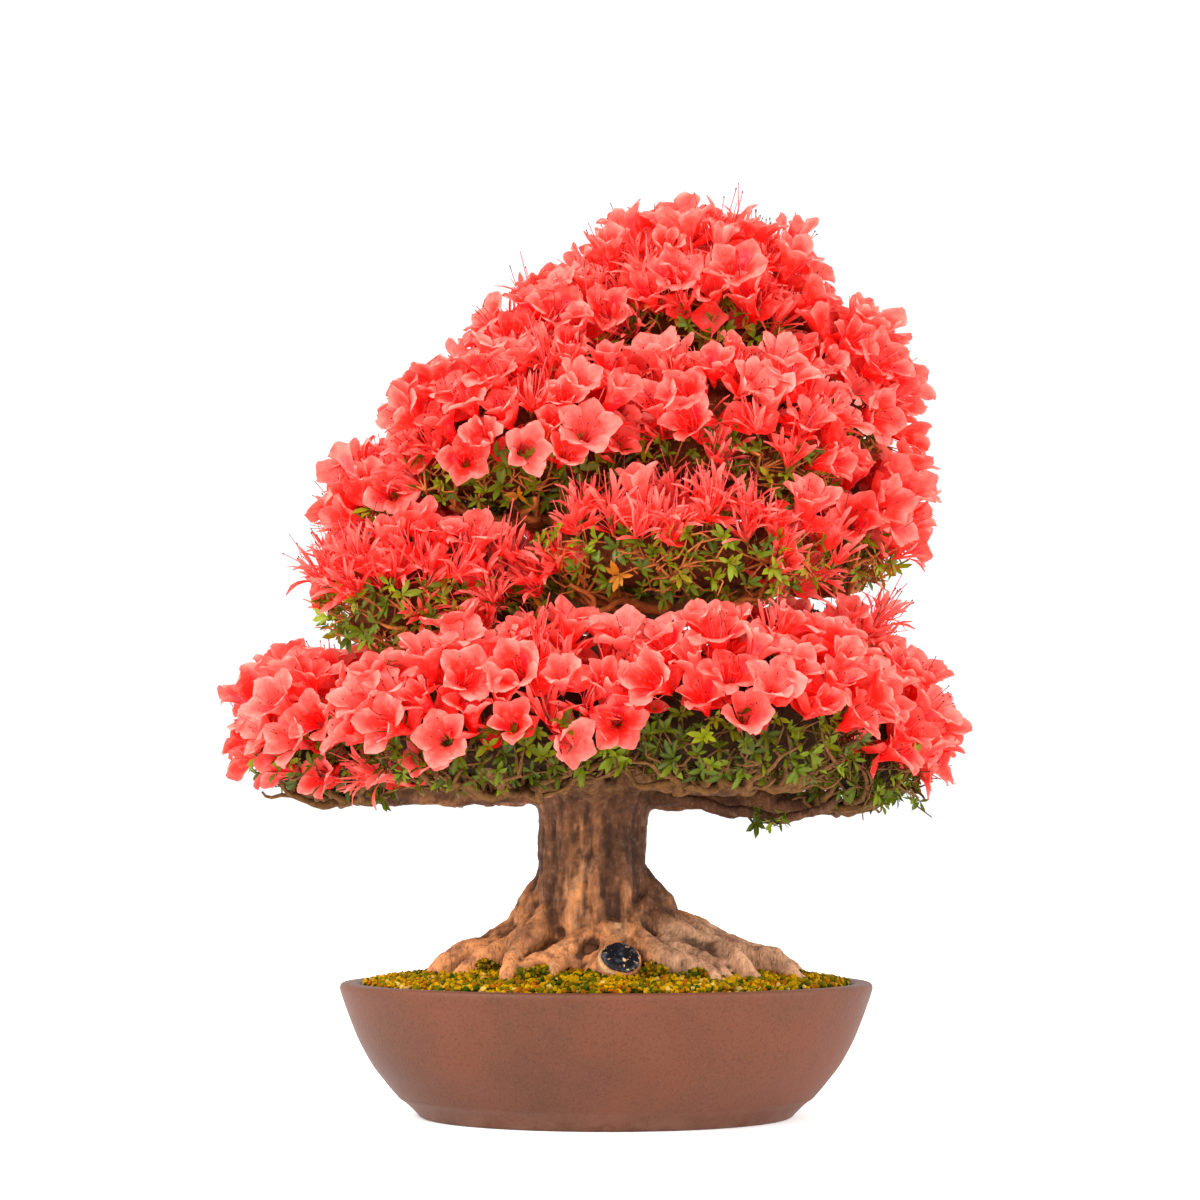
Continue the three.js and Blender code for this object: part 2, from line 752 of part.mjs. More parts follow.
/** Angle round an oval that spreads places evenly along it. */
function evenAngle(angle, a, b) {
  return Math.atan2(Math.sqrt(a) * Math.sin(angle), Math.sqrt(b) * Math.cos(angle));
}

/** Seeded places over a pad's dome: root point, facing and spin of each bloom, in the pad's frame. */
function bloomSpots(pad, padIndex) {
  const [a, b] = pad.size;
  const radius = (a + b) / 2 + BLOOM.mouth;
  const rise = pad.dome + BLOOM.mouth;
  const sweep = radians(BLOOM.sweep);
  const count = Math.round(domeArea(radius, rise, sweep) / BLOOM.spacing ** 2);
  const spots = [];
  for (let spot = 0; spot < count; spot += 1) {
    const seed = padIndex * SEEDS_PER_PAD + spot * DRAWS_PER_SPOT;
    const slope = slopeForShare(radius, rise, sweep, (spot + 0.5) / count);
    const angle = evenAngle(spot * GOLDEN_ANGLE + padIndex, a, b);
    const way = ringPoint(angle, Math.sin(slope), Math.cos(slope));
    const root = vector(way.x * a, way.y * b, way.z * pad.dome + BLOOM.lift);
    const facing = vector(way.x / a, way.y / b, way.z / pad.dome).normalize();
    facing.x += Math.tan(radians(BLOOM.tilt)) * (draw(seed) - 0.5);
    facing.y += Math.tan(radians(BLOOM.tilt)) * (draw(seed + 1) - 0.5);
    facing.z = Math.max(facing.z, BLOOM.leastRise);
    spots.push({
      root,
      facing: facing.normalize(),
      spin: draw(seed + 2) * TURN,
      size: mix(...BLOOM.sizes, draw(seed + 3)),
      strap: draw(seed + 4) < pad.strap,
    });
  }
  return spots;
}

/** Seeded places round a pad's leafy underside. */
function whorlSpots(pad, padIndex) {
  const [a, b] = pad.size;
  const around = Math.round((Math.PI * (a + b)) / WHORL.spacing);
  const spots = [];
  for (let spot = 0; spot < around; spot += 1) {
    const seed = WHORL_SEED + padIndex * SEEDS_PER_PAD + spot * DRAWS_PER_SPOT;
    const angle = evenAngle(((spot + WHORL.stray * draw(seed)) / around) * TURN, a, b);
    const dip = radians(mix(...WHORL.dips, draw(seed + 1)));
    const way = ringPoint(angle, Math.cos(dip), -Math.sin(dip));
    spots.push({
      root: vector(way.x * a, way.y * b, FRINGE + way.z * BOWL_DEPTH),
      facing: vector(way.x / a, way.y / b, way.z / (BOWL_DEPTH * WHORL.slope)).normalize(),
      spin: draw(seed + 2) * TURN,
      size: mix(...WHORL.sizes, draw(seed + 3)),
    });
  }
  return spots;
}

/** Where a spot's solid stands: +Z turned to its facing, spun, and moved to its root. */
function spotMatrix({ root, facing, spin }, frame) {
  const turn = new THREE.Quaternion().setFromUnitVectors(vector(0, 0, 1), facing);
  turn.multiply(new THREE.Quaternion().setFromAxisAngle(vector(0, 0, 1), spin));
  return new THREE.Matrix4().compose(root, turn, vector(1, 1, 1)).premultiply(frame);
}

// ---------------------------------------------------------------------- pads

/**
 * A core whose rings run out and in as tufts: sign +1 gives the low dome above the
 * fringe, -1 the bowl below it. The bowl's tufts are its outer leaf tips.
 */
function coreGeometry(pad, sign, depth, { rings, inset, sides, tuft }) {
  const outlines = rings.map(([rise, share], ring) => {
    const middle = vector(0, 0, FRINGE + sign * (CLEARANCE / 2 + depth * rise));
    const [a, b] = pad.size.map((half) => half - inset);
    const outline = circleRing(middle, vector(a, 0, 0), vector(0, b, 0), share, sides);
    outline.forEach((point, side) => {
      const out = 1 + ((side + ring) % 2 ? tuft : -tuft);
      point.x *= out;
      point.y *= out;
    });
    return outline;
  });
  return loft(sign > 0 ? outlines : outlines.toReversed());
}

/** Planes that part a pad from its neighbours: [normal, offset] of the side that is kept. */
function cellPlanes(pad, sideways) {
  const planes = [];
  const reachOf = (other) => (other.size[0] + other.size[1]) / 2 + BLOOM.mouth;
  const stretched = (other) => vector(other.centre[0], other.centre[1], other.centre[2] * CELL_STRETCH);
  const here = stretched(pad);
  for (const other of PADS) {
    if (other === pad) continue;
    const there = stretched(other);
    const away = here.clone().sub(there);
    const touching = reachOf(pad) + reachOf(other) + sideways;
    if (away.length() > touching) continue;
    const level = (here.lengthSq() - there.lengthSq() - reachOf(pad) ** 2 + reachOf(other) ** 2) / 2;
    const normal = vector(away.x, away.y, away.z * CELL_STRETCH);
    const size = normal.length();
    planes.push([normal.divideScalar(size), level / size + CLEARANCE / 2]);
  }
  return planes;
}

/** Whether a point lies in the shade of a pad that is higher than the given one. */
function isShaded(pad, point) {
  return PADS.some(({ centre, size }) => {
    const away = Math.hypot((point.x - centre[0]) / size[0], (point.y - centre[1]) / size[1]);
    return centre[2] > pad.centre[2] + SHADE.above && away < SHADE.cover;
  });
}

/** Whether a repeat has room at a point: clear of the leader and open to the light. */
function hasRoom(pad, point, facing) {
  const [axisX, axisY] = axisAt(Math.min(point.z, LEADER.points.at(-1)[2]));
  const outward = vector(point.x - axisX, point.y - axisY, 0);
  const clearOfLeader = pad.name === 'apex' || outward.length() > LEADER_KEEP_OUT;
  const inward = outward.normalize().dot(facing) < SHADE.inward && facing.z < SHADE.upright;
  const shaded = facing.z > SHADE.sideways && isShaded(pad, point);
  return clearOfLeader && !inward && !shaded;
}

/** The shift that brings a point inside every plane, by a margin. */
function shiftInside(point, planes, margin) {
  const moved = point.clone();
  for (const [normal, offset] of planes) {
    const depth = offset + margin - normal.dot(moved);
    if (depth > 0) moved.addScaledVector(normal, depth);
  }
  return moved.sub(point);
}

/** The plane midway between two points, as [normal, offset] of the first one's side. */
function partingPlane(here, there) {
  const normal = here.clone().sub(there).normalize();
  const middle = here.clone().add(there).divideScalar(2);
  return [normal, normal.dot(middle) + CLEARANCE / 2];
}

/** Bends a repeat clear of its neighbours: what lies behind a plane is laid against it. */
function bendClear(geometry, planes) {
  const places = geometry.attributes.position;
  const point = vector(0, 0, 0);
  for (let index = 0; index < places.count; index += 1) {
    point.fromBufferAttribute(places, index);
    for (const [normal, offset] of [...planes, ...planes]) {
      const depth = offset - normal.dot(point);
      if (depth > 0) point.addScaledVector(normal, depth);
    }
    places.setXYZ(index, ...point.toArray());
  }
  return geometry;
}

/**
 * One pad's node: its core and every repeat that has room, within the pad's cell and
 * clear of the wood. side +1 keeps the repeats above the fringe of the pad, -1 below it.
 */
function padSolid({ pad, core, spots, shapeOf, reach, repeat, side, wood }) {
  const { margin, largestShift } = repeat;
  const frame = padFrame(pad);
  const cell = cellPlanes(pad, reach);
  const kept = vector(0, 0, side).transformDirection(frame);
  const fringe = vector(0, 0, FRINGE + side * (CLEARANCE / 2)).applyMatrix4(frame);
  const bounds = [...cell, [kept, kept.dot(fringe)]];
  let body = solidOf(core.applyMatrix4(frame));
  for (const [normal, offset] of cell) body = body.trimByPlane(normal.toArray(), offset);
  const placed = spots.map((spot) => {
    const matrix = spotMatrix(spot, frame);
    const tip = vector(0, 0, reach).applyMatrix4(matrix);
    const shift = shiftInside(tip, cell, margin);
    const facing = vector(0, 0, 1).transformDirection(matrix);
    matrix.premultiply(new THREE.Matrix4().makeTranslation(shift));
    return { spot, matrix, facing, tip: tip.add(shift), moved: shift.length() };
  }).filter(({ tip, facing, moved }) => moved < largestShift && hasRoom(pad, tip, facing));
  const pieces = placed.map(({ spot, matrix, tip }) => {
    const others = placed.filter((other) => other.tip !== tip);
    const neighbours = others.map((other) => partingPlane(tip, other.tip));
    return solidOf(bendClear(shapeOf(spot).applyMatrix4(matrix), [...neighbours, ...bounds]));
  });
  return largestBody(cleared(Manifold.union([body, ...pieces]), wood));
}

/** A pad's flowering top. */
function bloomSolid(pad, index, wood) {
  return padSolid({
    pad,
    core: coreGeometry(pad, 1, pad.dome - FRINGE, DOME_CORE),
    spots: bloomSpots(pad, index),
    shapeOf: (spot) => (spot.strap ? strapBloomGeometry(spot.size) : bloomGeometry(spot.size)),
    reach: BLOOM.mouth,
    repeat: BLOOM,
    side: 1,
    wood,
  });
}

/** A pad's leafy underside. */
function leafSolid(pad, index, wood) {
  return padSolid({
    pad,
    core: coreGeometry(pad, -1, BOWL_DEPTH, BOWL_CORE),
    spots: whorlSpots(pad, index),
    shapeOf: (spot) => whorlGeometry(spot.size),
    reach: WHORL.rise,
    repeat: WHORL,
    side: -1,
    wood,
  });
}

/** A solid with room made for every limb that runs into its box. */
function cleared(solid, wood) {
  const near = wood.filter(({ box }) => box.intersectsBox(boxOf(solid)));
  return near.reduce((rest, limb) => rest.subtract(limb.fat), solid);
}

/** The box round a solid. */
function boxOf(solid) {
  const { min, max } = solid.boundingBox();
  return new THREE.Box3(vector(...min), vector(...max));
}

// ------------------------------------------------------------------ assembly

const plant = new THREE.Group();
plant.position.x = PLANT_SHIFT_X;

/** Adds one named piece to the plant. */
function add(name, geometry, colour, roughness) {
  const finish = { color: colour, roughness, metalness: 0, flatShading: true };
  const mesh = new THREE.Mesh(geometry, new THREE.MeshStandardMaterial(finish));
  mesh.name = name;
  plant.add(mesh);
}

const shapes = limbShapes();
const trunk = solidOf(trunkGeometry());
const tree = largestBody(Manifold.union([trunk, ...shapes.map((shape) => solidOf(limbGeometry(shape)))]));
const fatTrunk = solidOf(trunkGeometry(SOCKET_CLEARANCE));
const fatWood = [fatTrunk, ...shapes.map((shape) => solidOf(limbGeometry(shape, SOCKET_CLEARANCE)))]
  .map((fat) => ({ fat, box: boxOf(fat) }));

const seal = sealGeometry();
const sealRoom = solidOf(sealGeometry(CLEARANCE));
const soilTop = SOIL.edgeHeight + SOIL.moundHeight + SOIL.grain;
const soilKeepOut = Manifold.union([
  ...fatWood.filter(({ box }) => box.min.z < soilTop).map(({ fat }) => fat),
  ...drainOffsets().map(drainMeshPocket),
  sealRoom,
]);

add('pot', geometryFrom(potSolid()), COLOURS.pot, 0.6);
drainOffsets().forEach((offset) => {
  const side = offset < 0 ? 'left' : 'right';
  add(`drain_mesh_${side}`, geometryFrom(drainMeshSolid(offset)), COLOURS.drainMesh, 0.8);
});
add('soil', geometryFrom(soilSolid(soilKeepOut)), COLOURS.soil, 0.95);
add('tree', geometryFrom(tree), COLOURS.wood, 0.85);
add('cut_seal', seal, COLOURS.seal, 0.4);
PADS.forEach((pad, index) => {
  add(`${pad.name}_leaves`, geometryFrom(leafSolid(pad, index, fatWood)), COLOURS.leaf, 0.7);
  add(`${pad.name}_blooms`, geometryFrom(bloomSolid(pad, index, fatWood)), COLOURS.bloom, 0.6);
});

export default plant;
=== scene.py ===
"""Satsuki azalea bonsai in full flower: the fine surface of every piece, built on its frame.

Lengths are plant millimetres until Shape.build, which moves them into the frame in metres.
"""

import math

import bpy
import numpy as np
from mathutils import Matrix, Quaternion, Vector, noise


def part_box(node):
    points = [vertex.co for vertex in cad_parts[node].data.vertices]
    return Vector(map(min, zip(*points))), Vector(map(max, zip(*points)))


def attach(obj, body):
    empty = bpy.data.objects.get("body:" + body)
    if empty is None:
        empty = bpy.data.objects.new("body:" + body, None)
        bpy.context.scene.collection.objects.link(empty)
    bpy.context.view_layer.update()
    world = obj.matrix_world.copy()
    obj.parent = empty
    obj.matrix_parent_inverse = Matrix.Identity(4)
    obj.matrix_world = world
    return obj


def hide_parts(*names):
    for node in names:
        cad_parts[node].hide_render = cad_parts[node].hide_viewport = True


bl_info = {
    "name": "Azalea Bonsai",
    "version": (1, 0, 0),
    "blender": (4, 5, 0),
    "location": "View3D > Sidebar > Azalea",
    "description": "Builds a flowering azalea bonsai, its soil and its oval pot on their frame",
    "category": "Add Mesh",
}

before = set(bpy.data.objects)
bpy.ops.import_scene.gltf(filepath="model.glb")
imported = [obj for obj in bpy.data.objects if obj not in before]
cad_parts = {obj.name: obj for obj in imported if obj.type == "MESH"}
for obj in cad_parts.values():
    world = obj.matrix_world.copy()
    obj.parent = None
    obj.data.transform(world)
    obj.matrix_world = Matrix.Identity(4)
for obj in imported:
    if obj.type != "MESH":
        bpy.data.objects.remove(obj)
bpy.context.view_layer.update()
ROOT = "root"

# ------------------------------------------------------------------ dimensions

MM = 0.001
TURN = 2 * math.pi
GOLDEN_ANGLE = math.pi * (3 - math.sqrt(5))
UP = Vector((0, 0, 1))
PLANT_SHIFT_X = 8

POT_LOW, POT_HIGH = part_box("pot")
POT_LENGTH = (POT_HIGH.x - POT_LOW.x) / MM
POT_WIDTH = (POT_HIGH.y - POT_LOW.y) / MM
POT_HEIGHT = POT_HIGH.z / MM
POT_OVAL = POT_WIDTH / POT_LENGTH
# Half length and height of the pot's outline, from its middle under the foot round to its floor.
POT_UNDERSIDE = [(0, 5), (120, 5), (122.5, 4.2), (124.6, 0.8), (127, 0), (137.5, 0)]
POT_WALL = [(140, 1.2), (143.5, 5), (150, 11), (155, 14.4), (157.4, 17), (161, 21), (168, 29.5),
            (175, 38.5), (181, 48.5), (186.4, 59), (191, 70), (195.2, 81), (198.4, 90)]
POT_RIM = [(199.7, 94), (200, 96.4), (199, 98.8), (196.4, 99.8), (191.5, 100), (187.4, 99.4),
           (184.6, 97.4), (182.6, 93.6), (181.6, 90)]
POT_INSIDE = [(173, 70), (162, 42), (150, 19), (143, 13.8), (134, 13), (0, 13)]
DRAIN = {"radius": 12, "offset": 72, "sides": 40}

SOIL_HALF_LENGTH = 183.5
SOIL = {"edge_height": 98.5, "mound": 13.5, "swell": 1.6, "swell_size": 45, "cover": 2, "inset": 0.985,
        "rings": 14, "sides": 80, "lower_rings": [(142, 14.5), (180.5, 90)]}
# Heaps of granules and moss at the foot of the tree: middle of the heap and its size.
HEAPS = [(34, -80, 113, 9), (-47, -82, 112, 6), (-58, -86, 110, 6), (66, -84, 110, 6), (-88, -32, 114, 7),
         (92, 26, 114, 8), (-30, 94, 110, 8)]
HEAP = {"granules": 60, "fill": 0.4, "long": 1.2, "tall": 0.7, "granule": 0.8, "green": (0.2, 1.4)}
# The layer of granules over the bed: shifts from their grid, and patches of moss among them.
LAYER = {"row_pitch": 0.92, "shift": (-1, 1), "lift": (-1.2, 2.4), "wall_gap": 1.5, "width": (0.68, 1.3)}
MOSS = {"size": 26, "depth": 1.5, "spread": (-0.3, 0.5)}
# A granule: level of its two squares, and how much it is stretched and dented.
GRANULE = {"waist": 0.2, "stretch": (0.72, 1.25), "dent": (0.85, 1.2), "kinds": 14}
# First numbers of the random draws of each kind of thing.
SEEDS = {"layer": 11, "granules": 12, "pad": 100, "broad": 300, "strap": 500, "loose": 600, "whorl": 700,
         "foliage": 1000}

TRUNK_FOOT = Vector((-8, 0, 0))
# Height, sideways lean (x, y) and mean radius of each trunk section.
TRUNK_SECTIONS = [
    (84, 0, 0, 34), (112, 0, 0, 38), (132, -1, 0, 40), (150, -2, 0, 41.5), (170, -2.5, 0, 41.5),
    (196, -2.5, 0, 40.5), (224, -2, 0, 40.5), (237, -1, 0, 45), (251, 0, 0, 50), (284, 3, 1, 38),
    (340, 16, 3, 27),
]
# Upright ribs and hollows of the trunk: compass angle, width (degrees) and height; hollows are negative.
TRUNK_RIBS = [
    (206, 13, 1.6), (223, 8, -1.8), (244, 13, 2.2), (262, 6, -1.2), (273, 6, 2.4), (286, 7, -3.4),
    (303, 12, 1.4), (322, 7, -2.0), (342, 12, 1.6), (8, 8, -1.6), (30, 14, 2.0), (55, 8, -2.0),
    (82, 14, 2.2), (108, 9, -2.2), (132, 13, 1.8), (154, 8, -1.8), (178, 12, 1.6),
]
# Ribs wander by some degrees as they rise, and keep a share of their height above the collar at top.
RIBS = {"top": 236, "fade": 24, "kept": 0.3, "drift": 5, "drift_size": 42}
# The trunk's swellings, and the knobs above the collar: share of its radius.
TRUNK = {"sides": 90, "rows": 64, "swell": 0.05, "knob": 0.16, "knobs_from": 228, "knobs_fade": 14}
LEADER = {
    "points": [(4, 3, 318), (20, 4, 380), (36, 4, 450), (50, 2, 520), (62, -4, 572), (67, -8, 604)],
    "radii": [27, 22, 17, 13, 9, 6],
}
# Surface roots: points of the crest from the trunk out, and half width at each point.
ROOTS = [
    ([(-30, 2, 204), (-56, 1, 175), (-70, -1, 156), (-90, -5, 140), (-112, -8, 127), (-126, -10, 116),
      (-136, -12, 96)], [15, 15, 14, 12, 10, 8.5, 6]),
    ([(-42, -18, 168), (-53, -32, 150), (-64, -48, 138), (-70, -64, 127), (-72, -80, 114), (-72, -90, 94)],
     [13, 9.5, 7.5, 6.5, 6, 5]),
    ([(-10, -22, 156), (-18, -44, 141), (-30, -57, 132), (-35, -66, 125), (-40, -79, 115), (-42, -90, 94)],
     [12, 8, 6.5, 5.5, 5.5, 5]),
    ([(8, -22, 166), (24, -44, 142), (47, -62, 130), (74, -79, 118), (94, -94, 90)], [14, 10, 8.5, 7, 5.5]),
    ([(20, -16, 178), (44, -24, 154), (70, -38, 138), (98, -56, 124), (120, -68, 92)], [14, 10, 8, 6.5, 5]),
    ([(14, -2, 200), (33, -3, 182), (52, -5, 158), (73, -10, 144), (106, -20, 130), (128, -27, 124),
      (160, -41, 92)], [14, 14, 12.5, 11, 9, 8, 6]),
    ([(30, 8, 178), (56, 10, 154), (98, 14, 132), (134, 8, 121), (160, -2, 96)], [15, 12, 9, 8, 6]),
    ([(6, 18, 174), (28, 40, 156), (48, 62, 136), (64, 80, 118), (76, 94, 92)], [16, 12, 10, 8, 5]),
    ([(-11, 24, 174), (-14, 52, 152), (-22, 78, 132), (-31, 98, 114), (-40, 110, 90)], [15, 11, 9, 7, 5]),
    ([(-26, 15, 176), (-50, 33, 158), (-74, 52, 138), (-91, 68, 119), (-104, 82, 92)], [16, 12, 10, 8, 5]),
    ([(-2, -25, 166), (3, -41, 151), (5, -54, 137)], [14, 12.5, 10]),
]
# Lesser roots between them, in the same terms.
ROOTLETS = [
    ([(-28, -50, 135), (-42, -58, 130), (-54, -64, 126), (-66, -72, 114), (-76, -80, 94)],
     [6, 5.5, 5, 4.5, 4]),
    ([(-24, -50, 124), (-23, -62, 119), (-25, -78, 98)], [4.5, 4, 3]),
    ([(-14, -50, 128), (-15, -62, 121), (-17, -78, 100)], [5, 4, 3]),
    ([(-4, -48, 130), (-7, -60, 124), (-8, -78, 100)], [5, 4.2, 3]),
    ([(-52, -12, 154), (-80, -20, 134), (-104, -30, 118), (-118, -38, 94)], [12, 9, 6.5, 5]),
    ([(38, -34, 142), (58, -46, 130), (82, -60, 119), (100, -70, 94)], [9, 7.5, 6, 4.5]),
    ([(60, -4, 150), (94, -4, 133), (126, -10, 120), (148, -18, 96)], [9, 7.5, 6, 4.5]),
    ([(40, 22, 152), (70, 36, 134), (96, 46, 118), (116, 54, 94)], [9, 7.5, 6, 4.5]),
    ([(0, 44, 144), (10, 70, 128), (24, 92, 112), (32, 106, 92)], [8, 7, 5.5, 4]),
    ([(-34, 40, 146), (-48, 66, 128), (-58, 88, 110), (-64, 102, 92)], [8, 7, 5.5, 4]),
    ([(-62, 14, 150), (-92, 26, 130), (-116, 34, 112), (-130, 40, 92)], [9, 7.5, 6, 4.5]),
]
# Height of a root's section by its width, and least share of its way that counts as level.
ROOT_TALL = 1.3
ROOT_FLATTEST = 0.6
ROOT_MESH = {"thick": {"steps": 24, "sides": 18, "sway": 4, "knobs": 0.17},
             "thin": {"steps": 18, "sides": 12, "sway": 3, "knobs": 0.22}}
# The sawn root stub: its heading, its ends' distances from the trunk's axis and heights, its radius.
STUB = {"angle": 284, "ends": ((44, 88), (76, 121)), "radius": 16.6, "taper": (1.1, 0.98, 1)}
SEAL = {"thickness": 3.4, "gap": 0.35, "sides": 64, "rings": 14, "rim": 2.4, "uneven": 0.07, "bump": 0.9}
# Bare wood round the seal's rim, towards its left, and at a small old wound above it.
BARE_RIM = {"back": 1.5, "depth": 4, "width": 0.28, "left": (10, 2)}
WOUND = {"place": Vector((8, -46, 143)), "radius": 5, "edge": 2}
# Hollows between the roots, pressed in and darkened with painted shade: middle, radius and depth.
HOLLOWS = [(Vector((-36, -38, 137)), 6.5, 6), (Vector((-15, -44, 121)), 17, 10)]
# How warm the upper trunk's bark is, and what else adds to that. ember is a streak down its front.
# left warms the trunk's left and right darkens its right front: partly the bark's own colour, partly
# painted light and shade, with the key light on the left. rib lightens the ribs and darkens their
# hollows as painted light and shade.
TONE = {"base": 0.23, "rib": 0.03, "low": 0.56, "left": 0.16, "right": -0.2, "patch": 0.5, "fleck": 0.2,
        "ember": 0.24, "wound": 1.55}
# Heights of the bark's relief. Fibres, grooves and threads are shares of the bark relief setting.
RELIEF = {"fibre": 0.55, "groove": -0.6, "thread": 0.18, "lump": 0.8, "pit": 0.45, "limb_knob": 1.5,
          "limb_fibre": 0.55}
# How much each of these darkens the bark with painted shade in grooves, pits and hollows.
GROOVE_SHADE = {"fibre": 0.8, "pit": 0.5, "lump": 0.35, "hollow": 2.4, "rib": 0.1}
# Painted shade and painted highlight: how hollows darken the bark and ridges warm it, by millimetres
# below or above the smoothed surface.
CAVITY_SHADING = {"rounds": 10, "dark": 0.5, "warm": 0.14}
# A thin branch that hangs below the lowest tier on the right, at the front.
LOW_BRANCH = {
    "points": [(18, -12, 240), (66, -35, 233), (112, -52, 222), (142, -58, 223), (172, -60, 238)],
    "radii": [7, 5.5, 4.5, 4, 3],
}

# Pads of foliage: middle of the rim plane, half length and half depth, dome height, droop of the
# outer edge (degrees), share of narrow-petalled blooms, height where the limb leaves the trunk, and
# how far blooms reach from the top of the dome down its sides (degrees).
PADS = {
    "low_left": ((-192, -18, 283), (70, 84), 44, 2, 0.25, 246, 108),
    "low_front_left": ((-66, -133, 287), (106, 64), 58, 8, 0.1, 248, 97),
    "low_front_right": ((84, -138, 290), (98, 62), 62, 5, 0.05, 250, 90),
    "low_right": ((182, -24, 275), (57, 84), 52, 7, 0.1, 244, 103),
    "low_back_right": ((98, 128, 282), (88, 66), 62, 8, 0.1, 252, 92),
    "low_back_left": ((-92, 124, 284), (90, 70), 58, 8, 0.1, 254, 92),
    "shelf_right": ((150, 4, 350), (62, 66), 40, 8, 0.7, 296, 98),
    "mid_left": ((-119, -86, 384), (89, 60), 38, 3, 0.75, 320, 94),
    "mid_front": ((48, -110, 418), (112, 56), 34, 4, 0.75, 340, 86),
    "mid_right": ((174, 6, 442), (52, 66), 52, 8, 0.2, 364, 102),
    "mid_back": ((-34, 108, 402), (126, 62), 50, 8, 0.3, 334, 92),
    "high_left": ((-150, -35, 447), (44, 58), 36, 8, 0.2, 384, 102),
    "high_front_left": ((-56, -84, 488), (92, 62), 62, 8, 0.15, 428, 101),
    "high_front_right": ((84, -80, 490), (84, 60), 62, 8, 0.55, 432, 97),
    "high_right": ((158, -4, 536), (58, 64), 60, 10, 0.1, 456, 103),
    "high_back": ((-6, 88, 496), (106, 62), 64, 8, 0.2, 432, 98),
    "shoulder_left": ((-26, -18, 572), (60, 56), 44, 14, 0.25, 512, 103),
    "apex": ((67, -8, 600), (88, 74), 64, 0, 0.45, 560, 103),
}
LOW_TIER_BELOW = 260
FRINGE = -14
BOWL_DEPTH = 25
BLOOM_REACH = 15
CELL_STRETCH = 1.15
LEADER_KEEP_OUT = 44
# How square the shoulders of a clipped pad are: 2 is an oval dome.
BOXINESS = 2.6
SPRIGS = {
    "low_front_left": [(-156, -100, 241)],
    "low_right": [(111, -57, 223), (128, -60, 221), (198, -72, 238), (226, -60, 240)],
}
SPRIG_WHORLS = 3
# Blooms that hang below a pad's rim, or fill in beside it.
HANGING_BLOOMS = {
    "low_left": [(-226, -66, 258), (-202, -88, 252), (-178, -98, 250), (-152, -112, 252), (-244, -34, 262)],
    "low_front_left": [(-120, -160, 262)],
    "mid_left": [(-98, -140, 364), (-80, -144, 380), (-56, -146, 390), (-38, -146, 400)],
    "mid_front": [(120, -132, 398), (142, -106, 394), (156, -84, 392)],
    "mid_right": [(196, -40, 430)],
}
# How far apart the noises lie that move a path along x, y and z.
WANDER_SHIFTS = (0, 31.7, 63.4)
SIDE_LIMBS = {"low": 10, "high": 6, "rises": (-4, 7), "wander": 11, "radii": [4.3, 3.3, 2.4, 1.4]}
BRANCHLET = {"per_limb": 5, "length": (16, 38), "radii": [1.9, 1.4, 0.9], "least_lift": 0.15, "crooked": 3.2}
TWIG_RADII = [1.3, 0.95, 0.6]
# Fine bare twigs that cross in the band under the blooms.
TANGLE = {"count": 165, "reaches": (0.74, 0.96), "length": (9, 26), "radii": [0.95, 0.75, 0.45],
          "lean": 0.8, "crooked": 2.5}
# The dark inside of a pad, a shell of painted shade: how far it stays within the pad and how uneven it is.
CORE = {"rows": 9, "sides": 22, "inset": 20, "top_inset": 10, "bottom_inset": 8, "bump": 0.2}
# Stations along a leaf: share of its length and share of its width there.
LEAF_ROWS = ((0.34, 0.86), (0.7, 0.84))
WHORL = {"leaves": (5, 8), "sizes": (0.5, 1.08), "lifts": (-12, 62), "heights": (-3, 3),
         "scales": (0.75, 1.1)}
# How young leaves are, from old at 0 to new and faded at 1, in the lowest tier and above it.
LEAF_YOUTH = {"low": (0, 0.8), "high": (0.2, 1)}
# The band of whorls round a pad: its top over the rim, the depth that sets their number, shares of
# the pad's reach, and how they face.
LEAF_BAND = {"top": 8, "depth": 42, "reaches": (0.84, 1.03), "lift": 0.4, "lean": 0.35}
# Whorls among the blooms, as a share of those in the band.
TOP_LEAVES = 0.08
# Slots of the finishes of blooms and of foliage, after the petal or the leaf in slot 0.
FILAMENT, ANTHER, STALK = 1, 2, 3
TWIG, CORE_SHADE = 1, 2
# How many templates there are of each kind.
KINDS = {"broad": 18, "strap": 12, "loose": 8, "whorl": 14}
# A lobe of a funnel bloom. Lengths, widths, waves, cup and midrib are shares of the bloom's size; the
# lap of one edge over its neighbour and the throat are in millimetres; tilts are in degrees.
LOBE = {"count": 5, "length": 1.62, "uneven": (0.93, 1.06), "start_tilt": 9, "bend": 1.8, "widest": 0.61,
        "throat": 1.6, "half_width": 0.54, "overlap": 1.14, "corner": 0.07, "waves": (0.05, 0.11),
        "tip_waves": (0.02, 0.05), "cup": (-0.16, 0.1), "lap": 0.45, "midrib": 0.05,
        "columns": 7, "rows": (0, 0.2, 0.4, 0.57, 0.72, 0.85, 0.95, 1)}
# The flush on the upper lobe: its middle and half length along it, and how it narrows.
BLOTCH = {"middle": 0.52, "reach": 0.28, "narrow": 1.2}
OPENINGS = (42, 82)
HALF_OPEN = {"every": 6, "opening": 27}
STAMEN = {"lengths": (0.8, 1.05), "pistil": 1.18, "bends": (-0.1, 0.16), "radii": [0.42, 0.38, 0.32],
          "anther": 1.1, "stigma": 0.8}
STRAP = {"count": 9, "rows": 7, "columns": 3, "leans": (6, 52), "lengths": (1.0, 1.4),
         "half_widths": (1.0, 2.0), "bends": (-0.3, 0.55), "twists": (-1.4, 1.4), "sways": (-0.1, 0.1)}
# How blooms stand on a pad: how much they lean at random and upwards, and how deep their roots lie.
STAND = {"lean": 0.28, "lift": 0.48, "sunk": (5, 15), "furthest_shift": 16}
